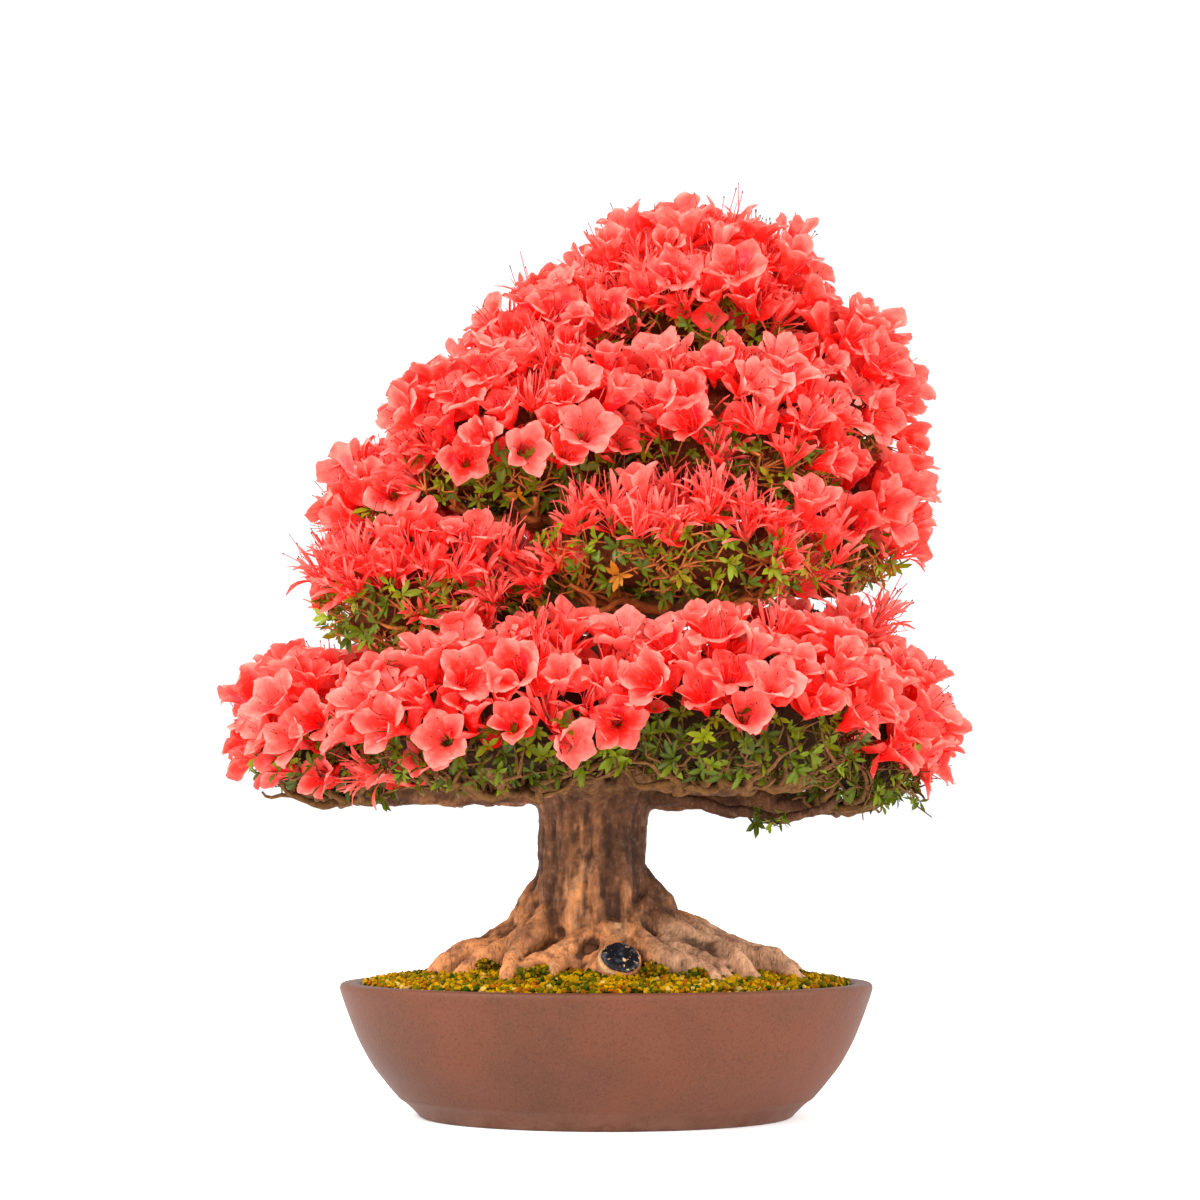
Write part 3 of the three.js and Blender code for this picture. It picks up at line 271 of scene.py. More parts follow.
# How a spot is filled: with one broad bloom, or with a tuft of narrow-petalled ones.
SET_BROAD = {"count": 1, "lean": 0, "lift": 0, "apart": 0.5}
SET_STRAP = {"count": 2, "lean": 0.22, "lift": 0.45, "apart": 6}
BLOOM_SIZES = (0.82, 1.16)
LOOSE_PETAL = {"rows": (0, 0.4, 0.75, 1), "widths": (0.2, 0.85, 1, 0.35), "columns": (-1, -0.35, 0.35, 1),
               "half_width": 0.46, "length": 1.05, "cups": (0.1, 0.3)}
# Loose petals between the stalks of blooms that face up, tinted deep as painted shade in the gaps. None runs
# downwards.
UNDER_PETALS = {"count": 3, "least_lift": 0.15, "lowest_run": -0.3, "heights": (-1, 7), "sizes": (0.8, 1.1)}
# Where blooms and leaves find light. Blooms that face the leader more than inward, unless upright,
# have none. Nor have those that face up more than sideways under a pad that is higher and over them.
LIGHT = {"inward": -0.25, "upright": 0.8, "above": 40, "cover": 0.88, "sideways": 0.62}
PAD_LIMB = {"lift": 7, "inner": 0.86, "outer": 0.42, "tip_height": -24, "radii": [12.7, 8.5, 6.4, 3.4]}
UNDER_PAD = FRINGE - BOWL_DEPTH - PAD_LIMB["lift"]

CAMERA = {"place": (0.0033, -1.95, 0.215), "pitch": 5.07, "lens": 77.01, "sensor": 36}
# Brightness of the white backdrop as the camera sees it.
BACKDROP = 1.1
# Light that the white floor adds of its own.
FLOOR_GLOW = 0.3
SPECULAR = 0.22


def screen(red, green, blue):
    """The linear colour of a screen colour given in whole numbers up to 255."""
    shares = [channel / 255 for channel in (red, green, blue)]
    return tuple(share / 12.92 if share <= 0.04045 else ((share + 0.055) / 1.055) ** 2.4 for share in shares)


# -------------------------------------------------------------------- settings


def colour_setting(name, description, colour):
    """A colour that the user can change."""
    return bpy.props.FloatVectorProperty(
        name=name, description=description, default=colour, size=3, min=0, max=1, subtype="COLOR"
    )


def length_setting(name, description, millimetres):
    """A length that the user can change."""
    return bpy.props.FloatProperty(
        name=name, description=description, default=millimetres * MM, min=0, unit="LENGTH", precision=4
    )


def share_setting(name, description, share):
    """A share from 0 to 1 that the user can change."""
    return bpy.props.FloatProperty(
        name=name, description=description, default=share, min=0, max=1, subtype="FACTOR"
    )


class PotSettings(bpy.types.PropertyGroup):
    """Colours and finish of the pot."""

    clay: colour_setting("Clay", "Main colour of the unglazed clay", screen(79, 45, 27))
    blush: colour_setting("Blush", "Redder clay where the kiln's fire touched", screen(106, 57, 37))
    # This grey is also the colour of the painted highlight along the rim.
    ash_and_rim_highlight: colour_setting("Ash", "Grey dust along the foot and in the pores", screen(118, 80, 62))
    roughness: share_setting("Roughness", "Dullness of the clay", 0.5)


class SoilSettings(bpy.types.PropertyGroup):
    """Sizes and colours of the soil."""

    pitch: length_setting("Granule pitch", "Distance between granules", 3.3)
    granule: length_setting("Granule size", "Mean width of a granule", 4.0)
    gold: colour_setting("Gold", "Colour of dry granules", screen(188, 144, 0))
    orange: colour_setting("Orange", "Colour of fired granules", screen(160, 92, 4))
    olive: colour_setting("Olive", "Granules with a green film", screen(112, 102, 0))
    moss: colour_setting("Moss", "Mossy granules", screen(50, 68, 0))
    cream: colour_setting("Cream", "Pumice granules", screen(206, 170, 84))


class WoodSettings(bpy.types.PropertyGroup):
    """Sizes and colours of the wood."""

    voxel: length_setting("Mesh size", "Width of a face of the wood's surface", 2.35)
    relief: length_setting("Bark relief", "Depth of the grooves in the trunk", 1.5)
    # This dark bark is also the colour of the painted shade in grooves and hollows.
    dark_bark_and_shade: colour_setting(
        "Dark bark", "Purple-brown bark on the trunk's right and in its grooves", screen(56, 32, 20)
    )
    bark: colour_setting("Bark", "Main colour of the bark", screen(114, 71, 43))
    # Ridges also warm towards this colour as painted highlight.
    fresh: colour_setting("Fresh bark", "Orange-brown bark of ridges and roots", screen(232, 154, 96))
    pale: colour_setting("Pale bark", "Grey-pink bark of the smooth roots", screen(206, 158, 122))
    plum: colour_setting("Weathered bark", "Grey-purple film on the bark's old patches", screen(136, 88, 66))
    limb: colour_setting("Limbs", "Olive-brown bark of the limbs", screen(142, 104, 58))
    bare_wood: colour_setting("Bare wood", "Cut wood round the seal", screen(226, 184, 132))
    seal: colour_setting("Seal", "Black wound paste", screen(22, 24, 29))


class LeafSettings(bpy.types.PropertyGroup):
    """Sizes and colours of leaves and twigs."""

    length: length_setting("Leaf length", "Length of a full-grown leaf", 14)
    width: length_setting("Leaf width", "Width of a full-grown leaf", 5.2)
    spacing: length_setting("Spacing", "Distance between whorls of leaves", 12.5)
    dark: colour_setting("Dark", "Old leaves", screen(46, 58, 6))
    green: colour_setting("Green", "Full-grown leaves", screen(88, 104, 12))
    young: colour_setting("Young", "New leaves", screen(146, 160, 24))
    faded: colour_setting("Faded", "Leaves about to fall", screen(204, 116, 30))
    # Colours of the painted shade inside the pads, in the lowest tier and in the upper tiers.
    shade: colour_setting("Inner twigs", "Old twigs inside the lowest tier", screen(62, 40, 14))
    young_shade: colour_setting("Young inner twigs", "Twigs inside the upper tiers", screen(112, 52, 16))
    twig: colour_setting("Twigs", "Bark of the twigs in the lowest tier", screen(124, 82, 40))
    young_twig: colour_setting(
        "Young twigs", "Orange bark of the twigs in the upper tiers", screen(196, 112, 52)
    )


class BloomSettings(bpy.types.PropertyGroup):
    """Sizes and colours of the blooms."""

    radius: length_setting("Bloom size", "Length that the lobes are measured by", 25)
    spacing: length_setting("Spacing", "Distance between blooms", 28)
    stamen: length_setting("Stamen length", "Length of a stamen", 33)
    petal: colour_setting("Petal", "Main colour of the petals", screen(255, 72, 58))
    deep: colour_setting("Throat", "Colour deep in the throat", screen(250, 14, 8))
    pale: colour_setting("Margin", "Paler colour of the margins", screen(255, 158, 144))
    blotch: colour_setting("Blotch", "Magenta flush on the upper lobe", screen(236, 20, 70))
    anther: colour_setting("Anthers", "Colour of the anthers", screen(58, 18, 26))
    translucency: share_setting("Translucency", "Share of light that passes through a petal", 0.34)


class StageSettings(bpy.types.PropertyGroup):
    """Floor and lights."""

    floor: colour_setting("Floor", "Colour of the floor", (0.95, 0.95, 0.95))
    sky: bpy.props.FloatProperty(name="Sky", description="Light from all around", default=1.42, min=0)
    key: bpy.props.FloatProperty(
        name="Key light", description="Power of the main light", default=68, min=0, unit="POWER"
    )
    fill: bpy.props.FloatProperty(
        name="Side light", description="Power of the softer light on the other side", default=26, min=0,
        unit="POWER",
    )


# --------------------------------------------------------------------- meshes


class Shape:
    """Points, faces and shade values of a piece. shade: run along the part, tint of the copy, mark."""

    def __init__(self):
        self.points = []
        self.shades = []
        self.faces = []
        self.count = 0

    def add(self, points, faces, finish=0, shade=(0, 0, 0)):
        """Adds points and blocks of faces with one finish."""
        points = np.asarray(points, float).reshape(-1, 3)
        self.points.append(points)
        self.shades.append(np.array(np.broadcast_to(shade, points.shape), float))
        self.faces += [(np.asarray(block) + self.count, finish) for block in faces if len(block)]
        self.count += len(points)

    def merged(self):
        """The shape's points and shades as two arrays."""
        if len(self.points) > 1:
            self.points = [np.concatenate(self.points)]
            self.shades = [np.concatenate(self.shades)]
        return self.points[0], self.shades[0]

    def stamp(self, other, matrix, tint):
        """Adds a copy of a shape, moved by a matrix, with a tint of its own."""
        points, shades = other.merged()
        turned = np.array(matrix)
        shades = shades.copy()
        shades[:, 1] = tint
        self.points.append(points @ turned[:3, :3].T + turned[:3, 3])
        self.shades.append(shades)
        self.faces += [(block + self.count, finish) for block, finish in other.faces]
        self.count += len(points)

    def build(self, name, finishes, smooth=True):
        """The Blender object of the shape, in the frame."""
        points, shades = self.merged()
        mesh = bpy.data.meshes.new(name)
        mesh.vertices.add(len(points))
        mesh.vertices.foreach_set("co", ((points + (PLANT_SHIFT_X, 0, 0)) * MM).ravel())
        corners = np.concatenate([block.ravel() for block, _ in self.faces])
        sizes = np.concatenate([np.full(len(block), block.shape[1]) for block, _ in self.faces])
        mesh.loops.add(len(corners))
        mesh.loops.foreach_set("vertex_index", corners)
        mesh.polygons.add(len(sizes))
        mesh.polygons.foreach_set("loop_start", np.concatenate([[0], np.cumsum(sizes)[:-1]]))
        for finish in finishes:
            mesh.materials.append(finish)
        slots = np.concatenate([np.full(len(block), finish) for block, finish in self.faces])
        mesh.polygons.foreach_set("material_index", slots)
        mesh.polygons.foreach_set("use_smooth", np.full(len(sizes), smooth))
        shade = mesh.attributes.new("shade", "FLOAT_VECTOR", "POINT")
        shade.data.foreach_set("vector", shades.ravel())
        mesh.update(calc_edges=True)
        mesh.validate()
        piece = bpy.data.objects.new(name, mesh)
        bpy.context.scene.collection.objects.link(piece)
        return piece


def settle(piece, slot, *nodes):
    """Lets a piece ride on the plant and stand for CAD nodes, which it hides. slot is not used."""
    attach(piece, ROOT)
    if nodes:
        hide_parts(*nodes)


def grid_faces(rows, columns, closed=False):
    """Quads between rows of points, closed round each row where it is a ring."""
    across = columns if closed else columns - 1
    row, column = np.meshgrid(np.arange(rows - 1), np.arange(across), indexing="ij")
    after = (column + 1) % columns
    quads = [row * columns + column, row * columns + after,
             (row + 1) * columns + after, (row + 1) * columns + column]
    return np.stack([corner.ravel() for corner in quads], axis=1)


def fan_faces(centre, ring, flip=False):
    """Triangles from a middle point to a ring of points."""
    after = np.roll(ring, -1)
    middle = np.full(len(ring), centre)
    return np.stack([middle, after, ring] if flip else [middle, ring, after], axis=1)


def closed_rings(shape, points, sides, start, end, finish=0, inside_out=False):
    """Adds a skin round rings of points, closed by a middle point at either end."""
    rings = len(points) // sides
    first, last = np.arange(sides), (rings - 1) * sides + np.arange(sides)
    wall = grid_faces(rings, sides, closed=True)
    faces = [wall[:, ::-1] if inside_out else wall,
             fan_faces(rings * sides, first, flip=not inside_out),
             fan_faces(rings * sides + 1, last, flip=inside_out)]
    shape.add([*points, start, end], faces, finish)


def level_way(angle):
    """The level direction at an angle round the plant."""
    return Vector((math.cos(angle), math.sin(angle), 0))


def dome_way(angle, slope):
    """The direction at an angle round a dome and a slope from its top."""
    return Vector((math.cos(angle) * math.sin(slope), math.sin(angle) * math.sin(slope), math.cos(slope)))


def scatter(random, amount):
    """A random shift that is as likely in every direction."""
    return Vector(random.normal(0, amount, 3))


def smooth_path(points, count):
    """Points spread along a smooth curve through the given ones."""
    points = np.asarray(points, float)
    padded = np.concatenate([[2 * points[0] - points[1]], points, [2 * points[-1] - points[-2]]])
    places = np.linspace(0, len(points) - 1, count)
    before = np.minimum(places.astype(int), len(points) - 2)
    share = (places - before)[:, None]
    a, b, c, d = (padded[before + step] for step in range(4))
    return 0.5 * (2 * b + (c - a) * share + (2 * a - 5 * b + 4 * c - d) * share**2
                  + (3 * b - a - 3 * c + d) * share**3)


def tube(shape, path, radii, sides, finish=0, up=UP, tall=1.0, knobs=None, capped=True, end_bulge=0.6):
    """A tube along a path. knobs: amount, size and seed of its swellings."""
    path = np.asarray(path, float)
    radii = np.interp(np.linspace(0, 1, len(path)), np.linspace(0, 1, len(radii)), radii)
    ways = np.gradient(path, axis=0)
    ways /= np.linalg.norm(ways, axis=1)[:, None]
    across = np.cross(ways, np.array(up))
    across /= np.maximum(np.linalg.norm(across, axis=1), 1e-6)[:, None]
    along = np.cross(across, ways) * tall
    angles = np.arange(sides) / sides * TURN
    reach = np.repeat(radii[:, None], sides, axis=1)
    spokes = across[:, None] * np.cos(angles)[None, :, None] + along[:, None] * np.sin(angles)[None, :, None]
    if knobs:
        amount, size, seed = knobs
        bumps = [[noise.noise(Vector(path[i] + spokes[i, j] * radii[i]) / size + Vector((seed, 0, 0)))
                  for j in range(sides)] for i in range(len(path))]
        reach *= 1 + amount * np.array(bumps)
    rings = path[:, None] + spokes * reach[..., None]
    if capped:
        start, end = path[0] - ways[0] * radii[0] * 0.3, path[-1] + ways[-1] * radii[-1] * end_bulge
        closed_rings(shape, rings.reshape(-1, 3), sides, start, end, finish)
    else:
        shape.add(rings, [grid_faces(len(path), sides, closed=True)], finish)


def turn_to(facing, spin):
    """The rotation that brings +Z to a facing after a spin about +Z."""
    return UP.rotation_difference(facing) @ Quaternion(UP, spin)


def placed(root, facing, spin, size=1.0):
    """The matrix that stands a template at a root point, facing a way."""
    return Matrix.LocRotScale(Vector(root), turn_to(Vector(facing), spin), Vector((size,) * 3))


# ------------------------------------------------------------------ materials


class Nodes:
    """Adds nodes to a tree and links them."""

    def __init__(self, tree):
        self.tree = tree

    def add(self, kind, inputs=None, **settings):
        """A node with its settings made and its inputs set or linked."""
        node = self.tree.nodes.new("ShaderNode" + kind)
        for key, value in settings.items():
            setattr(node, key, value)
        for key, value in (inputs or {}).items():
            self.feed(node.inputs[key], value)
        return node

    def feed(self, socket, value):
        """Sets a socket, or links it where the value is an output."""
        if isinstance(value, bpy.types.NodeSocket):
            self.tree.links.new(value, socket)
        else:
            socket.default_value = (*value, 1) if socket.type == "RGBA" and len(value) == 3 else value

    def mix(self, factor, first, second, blend="MIX"):
        """A colour mixed from two."""
        inputs = {0: factor, 6: first, 7: second}
        return self.add("Mix", inputs, data_type="RGBA", blend_type=blend, clamp_factor=True).outputs[2]

    def cover(self, colour, over, mask, *span):
        """A colour covered by another where a mask lies in a span, as in between."""
        return self.mix(self.between(mask, *span), colour, over)

    def math(self, operation, first, second, clamp=False):
        """A number worked out from two."""
        return self.add("Math", {0: first, 1: second}, operation=operation, use_clamp=clamp).outputs[0]

    def between(self, value, low, high, to_low=0.0, to_high=1.0):
        """A number mapped from one range to another, held inside it."""
        inputs = {"Value": value, "From Min": low, "From Max": high, "To Min": to_low, "To Max": to_high}
        return self.add("MapRange", inputs, clamp=True).outputs[0]

    def shade(self):
        """The piece's shade values: run, tint and mark."""
        shade = self.add("Attribute", attribute_name="shade", attribute_type="GEOMETRY")
        return self.add("SeparateXYZ", {0: shade.outputs["Vector"]}).outputs

    def place(self):
        """Coordinates that stay with the object."""
        return self.add("TexCoord").outputs["Object"]


def new_group(name, inputs, outputs):
    """An empty node group with named sockets, and its nodes. A socket is (name, kind, default)."""
    group = bpy.data.node_groups.new(name, "ShaderNodeTree")
    for socket, kind, default in inputs:
        made = group.interface.new_socket(socket, in_out="INPUT", socket_type="NodeSocket" + kind)
        if default is not None:
            made.default_value = default
    for socket, kind in outputs:
        group.interface.new_socket(socket, in_out="OUTPUT", socket_type="NodeSocket" + kind)
    nodes = Nodes(group)
    return nodes, group.nodes.new("NodeGroupInput").outputs, group.nodes.new("NodeGroupOutput").inputs


def mottle_group():
    """Soft patches: a mask and a colour that wanders between two."""
    if "Mottle" in bpy.data.node_groups:
        return bpy.data.node_groups["Mottle"]
    nodes, given, out = new_group(
        "Mottle",
        [("Vector", "Vector", None), ("Scale", "Float", 40), ("Contrast", "Float", 2),
         ("First", "Color", (0, 0, 0, 1)), ("Second", "Color", (1, 1, 1, 1))],
        [("Mask", "Float"), ("Colour", "Color")],
    )
    patches = nodes.add("TexNoise", {"Vector": given["Vector"], "Scale": given["Scale"],
                                     "Detail": 5, "Roughness": 0.62})
    centred = nodes.math("SUBTRACT", patches.outputs["Fac"], 0.5)
    mask = nodes.math("ADD", nodes.math("MULTIPLY", centred, given["Contrast"]), 0.5, clamp=True)
    nodes.feed(out["Mask"], mask)
    nodes.feed(out["Colour"], nodes.mix(mask, given["First"], given["Second"]))
    return nodes.tree


def grain_group():
    """Fine relief: a height from coarse and fine noise."""
    if "Grain" in bpy.data.node_groups:
        return bpy.data.node_groups["Grain"]
    nodes, given, out = new_group(
        "Grain", [("Vector", "Vector", None), ("Scale", "Float", 400), ("Pits", "Float", 0.4)],
        [("Height", "Float")],
    )
    fine = nodes.add("TexNoise", {"Vector": given["Vector"], "Scale": given["Scale"], "Detail": 4})
    cells = nodes.add("TexVoronoi", {"Vector": given["Vector"], "Scale": given["Scale"]})
    pits = nodes.math("MULTIPLY", nodes.between(cells.outputs["Distance"], 0, 0.35, -1, 0), given["Pits"])
    nodes.feed(out["Height"], nodes.math("ADD", fine.outputs["Fac"], pits))
    return nodes.tree


class Finish:
    """A material under construction: its nodes and its Principled shader."""

    def __init__(self, name, roughness):
        self.material = bpy.data.materials.new(name)
        self.material.use_nodes = True
        self.nodes = Nodes(self.material.node_tree)
        self.shader = self.material.node_tree.nodes["Principled BSDF"]
        self.set("Roughness", roughness)
        self.set("Specular IOR Level", SPECULAR)

    def set(self, socket, value):
        """Sets or links one of the shader's sockets."""
        self.nodes.feed(self.shader.inputs[socket], value)

    def mottle(self, vector, scale, contrast, first=(0, 0, 0), second=(1, 1, 1)):
        """The mask and colour of soft patches."""
        inputs = {"Vector": vector, "Scale": scale, "Contrast": contrast, "First": first, "Second": second}
        node = self.nodes.add("Group", inputs, node_tree=mottle_group())
        return node.outputs["Mask"], node.outputs["Colour"]

    def grain(self, vector, scale, pits, depth):
        """Fine relief on the shader's normal. depth is in millimetres."""
        inputs = {"Vector": vector, "Scale": scale, "Pits": pits}
        node = self.nodes.add("Group", inputs, node_tree=grain_group())
        bump = self.nodes.add("Bump", {"Distance": depth * MM, "Height": node.outputs["Height"]})
        self.set("Normal", bump.outputs["Normal"])

    def let_light_through(self, colour, share):
        """Mixes in a translucent shader, for petals and leaves."""
        nodes = self.nodes
        through = nodes.add("BsdfTranslucent", {"Color": colour})
        both = nodes.add("MixShader", {0: share, 1: self.shader.outputs[0], 2: through.outputs[0]})
        nodes.feed(self.material.node_tree.nodes["Material Output"].inputs["Surface"], both.outputs[0])


def clay_material(settings):
    """Unglazed fired clay: kiln blush, speckles, pores, dusty grey along the foot, and a painted highlight
    along the rim.
    """
    finish = Finish("fired_clay", settings.roughness)
    nodes, place = finish.nodes, finish.nodes.place()
    blush, colour = finish.mottle(place, 8, 2.4, settings.clay, settings.blush)
    speckles, _ = finish.mottle(place, 1100, 5)
    colour = nodes.cover(colour, settings.ash_and_rim_highlight, speckles, 0.8, 1, 0, 0.3)
    pores, _ = finish.mottle(place, 420, 7)
    pore_colour = tuple(channel * 0.4 for channel in settings.clay)
    colour = nodes.cover(colour, pore_colour, pores, 0.96, 1, 0, 0.25)
    height = nodes.add("SeparateXYZ", {0: place}).outputs[2]
    ragged, _ = finish.mottle(place, 60, 4)
    dusty = nodes.math("MULTIPLY", nodes.between(height, 0.001, 0.016, 1, 0), ragged)
    colour = nodes.mix(nodes.math("MULTIPLY", dusty, 0.7), colour, settings.ash_and_rim_highlight)
    # Painted highlight: a lighter grey band along the top of the rim.
    rim_highlight = nodes.math("MULTIPLY", nodes.between(height, 0.0955, 0.0995), 0.16)
    colour = nodes.mix(rim_highlight, colour, settings.ash_and_rim_highlight)
    finish.set("Base Color", colour)
    finish.set("Roughness", nodes.between(blush, 0, 1, settings.roughness - 0.05, settings.roughness + 0.08))
    finish.grain(place, 620, 0.35, 0.3)
    return finish.material


def bark_material(settings):
    """Bark. shade: groove, painted shade in grooves and hollows; tone, from dark over brown to orange, with
    some painted light and shade in it, and 2 for bare wood; kind, 1 for limbs and -1 for pale roots."""
    finish = Finish("azalea_bark", 0.74)
    nodes, place = finish.nodes, finish.nodes.place()
    groove, tone, kind = nodes.shade()
    stretched = nodes.add("Mapping", {"Vector": place, "Scale": (1, 1, 0.2)}).outputs[0]
    streaks, _ = finish.mottle(stretched, 260, 2.4)
    patches, _ = finish.mottle(place, 44, 2.6)
    flakes, _ = finish.mottle(place, 210, 3)
    drift = nodes.math("MULTIPLY", nodes.math("SUBTRACT", streaks, 0.5), 0.2)
    shifted = nodes.math("ADD", tone, drift)
    colour = nodes.cover(settings.dark_bark_and_shade, settings.bark, shifted, 0, 0.5)
    colour = nodes.cover(colour, settings.fresh, shifted, 0.5, 1)
    colour = nodes.cover(colour, settings.pale, kind, -1, 0, 0.85, 0)
    _, limb_colour = finish.mottle(place, 90, 2.6, settings.limb, settings.bark)
    colour = nodes.cover(colour, limb_colour, kind, 0, 1)
    colour = nodes.cover(colour, settings.bark, patches, 0.45, 1, 0, 0.6)
    film, _ = finish.mottle(place, 55, 3.6)
    on_roots = nodes.between(tone, 0.35, 0.8)
    film_share = nodes.math("MULTIPLY", nodes.between(film, 0.55, 0.95, 0, 0.6), on_roots)
    colour = nodes.mix(film_share, colour, settings.plum)
    bleach_share = nodes.math("MULTIPLY", nodes.between(film, 0.35, 0.05, 0, 0.35), on_roots)
    colour = nodes.mix(bleach_share, colour, settings.pale)
    cracks, _ = finish.mottle(stretched, 330, 5)
    colour = nodes.cover(colour, settings.dark_bark_and_shade, cracks, 0.7, 1, 0, 0.28)
    colour = nodes.cover(colour, settings.dark_bark_and_shade, flakes, 0.6, 1, 0, 0.3)
    colour = nodes.cover(colour, settings.pale, flakes, 0.4, 0, 0, 0.14)
    # Painted shade: grooves, pits and hollows darken towards the dark bark.
    colour = nodes.cover(colour, settings.dark_bark_and_shade, groove, 0.15, 1, 0, 0.85)
    colour = nodes.cover(colour, settings.bare_wood, tone, 1.2, 1.8)
    finish.set("Base Color", colour)
    finish.set("Roughness", nodes.between(flakes, 0, 1, 0.62, 0.85))
    finish.grain(stretched, 460, 0.5, 1.6)
    return finish.material


def plain_material(name, colour, roughness, scale, darker, grain_scale=700, depth=0.2):
    """A small part's finish: one colour with soft darker patches and a fine grain."""
    finish = Finish(name, roughness)
    place = finish.nodes.place()
    shadow = tuple(channel * darker for channel in colour)
    _, mottled = finish.mottle(place, scale, 3, colour, shadow)
    finish.set("Base Color", mottled)
    finish.grain(place, grain_scale, 0.3, depth)
    return finish.material


def seal_material(settings):
    """Black wound paste: glossy in places, with patches of painted grey-blue sheen, flecked where it has
    worn through.
    """
    finish = Finish("wound_paste", 0.3)
    nodes, place = finish.nodes, finish.nodes.place()
    flecks, _ = finish.mottle(place, 260, 3.4)
    colour = nodes.cover(settings.seal, settings.bare_wood, flecks, 0.86, 0.93)
    # Painted sheen: grey-blue patches stand in for reflections on the glossy paste; there the paste is also
    # rougher.
    dust_and_sheen, _ = finish.mottle(place, 120, 4)
    colour = nodes.mix(nodes.between(dust_and_sheen, 0.6, 1, 0, 0.35), colour, screen(110, 118, 134))
    finish.set("Base Color", colour)
    finish.set("Roughness", nodes.between(dust_and_sheen, 0, 1, 0.16, 0.5))
    finish.grain(place, 150, 0.2, 0.8)
    return finish.material


def granule_material(settings):
    """Granules, each in one of five colours. shade: tint in y, moss in z."""
    finish = Finish("soil_granules", 0.85)
    finish.set("Specular IOR Level", 0.06)
    nodes, place = finish.nodes, finish.nodes.place()
    _, tint, green = nodes.shade()
    palette = nodes.add("ValToRGB", {"Fac": tint})
    steps = [(0, settings.gold), (0.36, settings.orange), (0.54, settings.olive), (0.78, settings.moss),
             (0.88, settings.gold), (0.95, settings.cream)]
    palette.color_ramp.interpolation = "CONSTANT"
    while len(palette.color_ramp.elements) < len(steps):
        palette.color_ramp.elements.new(1)
    for element, (position, colour) in zip(palette.color_ramp.elements, steps):
        element.position = position
        element.color = (*colour, 1)
    colour = nodes.cover(palette.outputs[0], settings.moss, green, 0, 1, 0, 0.6)
    _, speckled = finish.mottle(place, 520, 2, (0.68, 0.66, 0.6), (1.15, 1.12, 1.05))
    finish.set("Base Color", nodes.mix(1.0, colour, speckled, "MULTIPLY"))
    finish.grain(place, 900, 0.5, 0.35)
    return finish.material


def petal_material(settings):
    """Petals: deep throat, coral lobes, pale margins. shade: run, tint, blotch."""
    finish = Finish("azalea_petal", 0.46)
    nodes, place = finish.nodes, finish.nodes.place()
    run, tint, blotch = nodes.shade()
    colour = nodes.cover(settings.petal, settings.deep, run, 0.16, 0.8, 1, 0)
    colour = nodes.cover(colour, settings.pale, run, 0.6, 1.02, 0, 0.9)
    colour = nodes.cover(colour, settings.deep, tint, 0, 0.35, 0.38, 0)
    colour = nodes.cover(colour, settings.pale, tint, 0.6, 1, 0, 0.42)
    colour = nodes.mix(nodes.math("MULTIPLY", blotch, 0.75), colour, settings.blotch)
    veins, _ = finish.mottle(place, 130, 3.4)
    colour = nodes.cover(colour, settings.pale, veins, 0.5, 1, 0, 0.28)
    colour = nodes.cover(colour, settings.deep, veins, 0.45, 0, 0, 0.35)
    finish.set("Base Color", colour)
    finish.grain(place, 420, 0.1, 0.2)
    finish.let_light_through(colour, settings.translucency)
    return finish.material


def leaf_material(settings):
    """Leaves, each in its own green, with a pale midrib. shade: run, tint, midrib."""
    finish = Finish("azalea_leaf", 0.4)
    nodes, place = finish.nodes, finish.nodes.place()
    _, tint, rib = nodes.shade()
    colour = nodes.cover(settings.dark, settings.green, tint, 0.1, 0.45)
    colour = nodes.cover(colour, settings.young, tint, 0.5, 0.84)
    colour = nodes.cover(colour, settings.faded, tint, 0.92, 0.97)
    colour = nodes.mix(nodes.math("MULTIPLY", rib, 0.25), colour, settings.young)
    _, mottled = finish.mottle(place, 180, 2, (0.75, 0.75, 0.7), (1.1, 1.1, 1.0))
    colour = nodes.mix(1.0, colour, mottled, "MULTIPLY")
    finish.set("Base Color", colour)
    finish.grain(place, 700, 0.1, 0.1)
    finish.let_light_through(colour, 0.28)
    return finish.material


# ------------------------------------------------------------------------ pot


def oval_shape(profile, sides=152):
    """A turned shape squeezed to the pot's oval plan, from (half length, height) pairs."""
    shape = Shape()
    angles = np.arange(sides) / sides * TURN
    points = [(radius * math.cos(a), radius * math.sin(a) * POT_OVAL, height)
              for radius, height in profile[1:-1] for a in angles]
    closed_rings(shape, points, sides, (0, 0, profile[0][1]), (0, 0, profile[-1][1]))
    return shape


def cut_drain_holes(piece):
    """Cuts the drain holes through the pot's floor."""
    cutters = []
    for side in (-1, 1):
        place = Vector((side * DRAIN["offset"] + PLANT_SHIFT_X, 0, 0)) * MM
        bpy.ops.mesh.primitive_cylinder_add(
            vertices=DRAIN["sides"], radius=DRAIN["radius"] * MM, depth=POT_HEIGHT * MM, location=place
        )
        cutter = bpy.context.object
        cutters.append(cutter)
        cut = piece.modifiers.new("drain", "BOOLEAN")
        cut.object = cutter
        cut.solver = "EXACT"
    keep_modified(piece)
    for cutter in cutters:
        bpy.data.objects.remove(cutter)


def keep_modified(piece):
    """Gives a piece its modified mesh and takes its modifiers off."""
    bpy.context.view_layer.update()
    evaluated = piece.evaluated_get(bpy.context.evaluated_depsgraph_get())
    mesh = bpy.data.meshes.new_from_object(evaluated)
    piece.modifiers.clear()
    piece.data = mesh


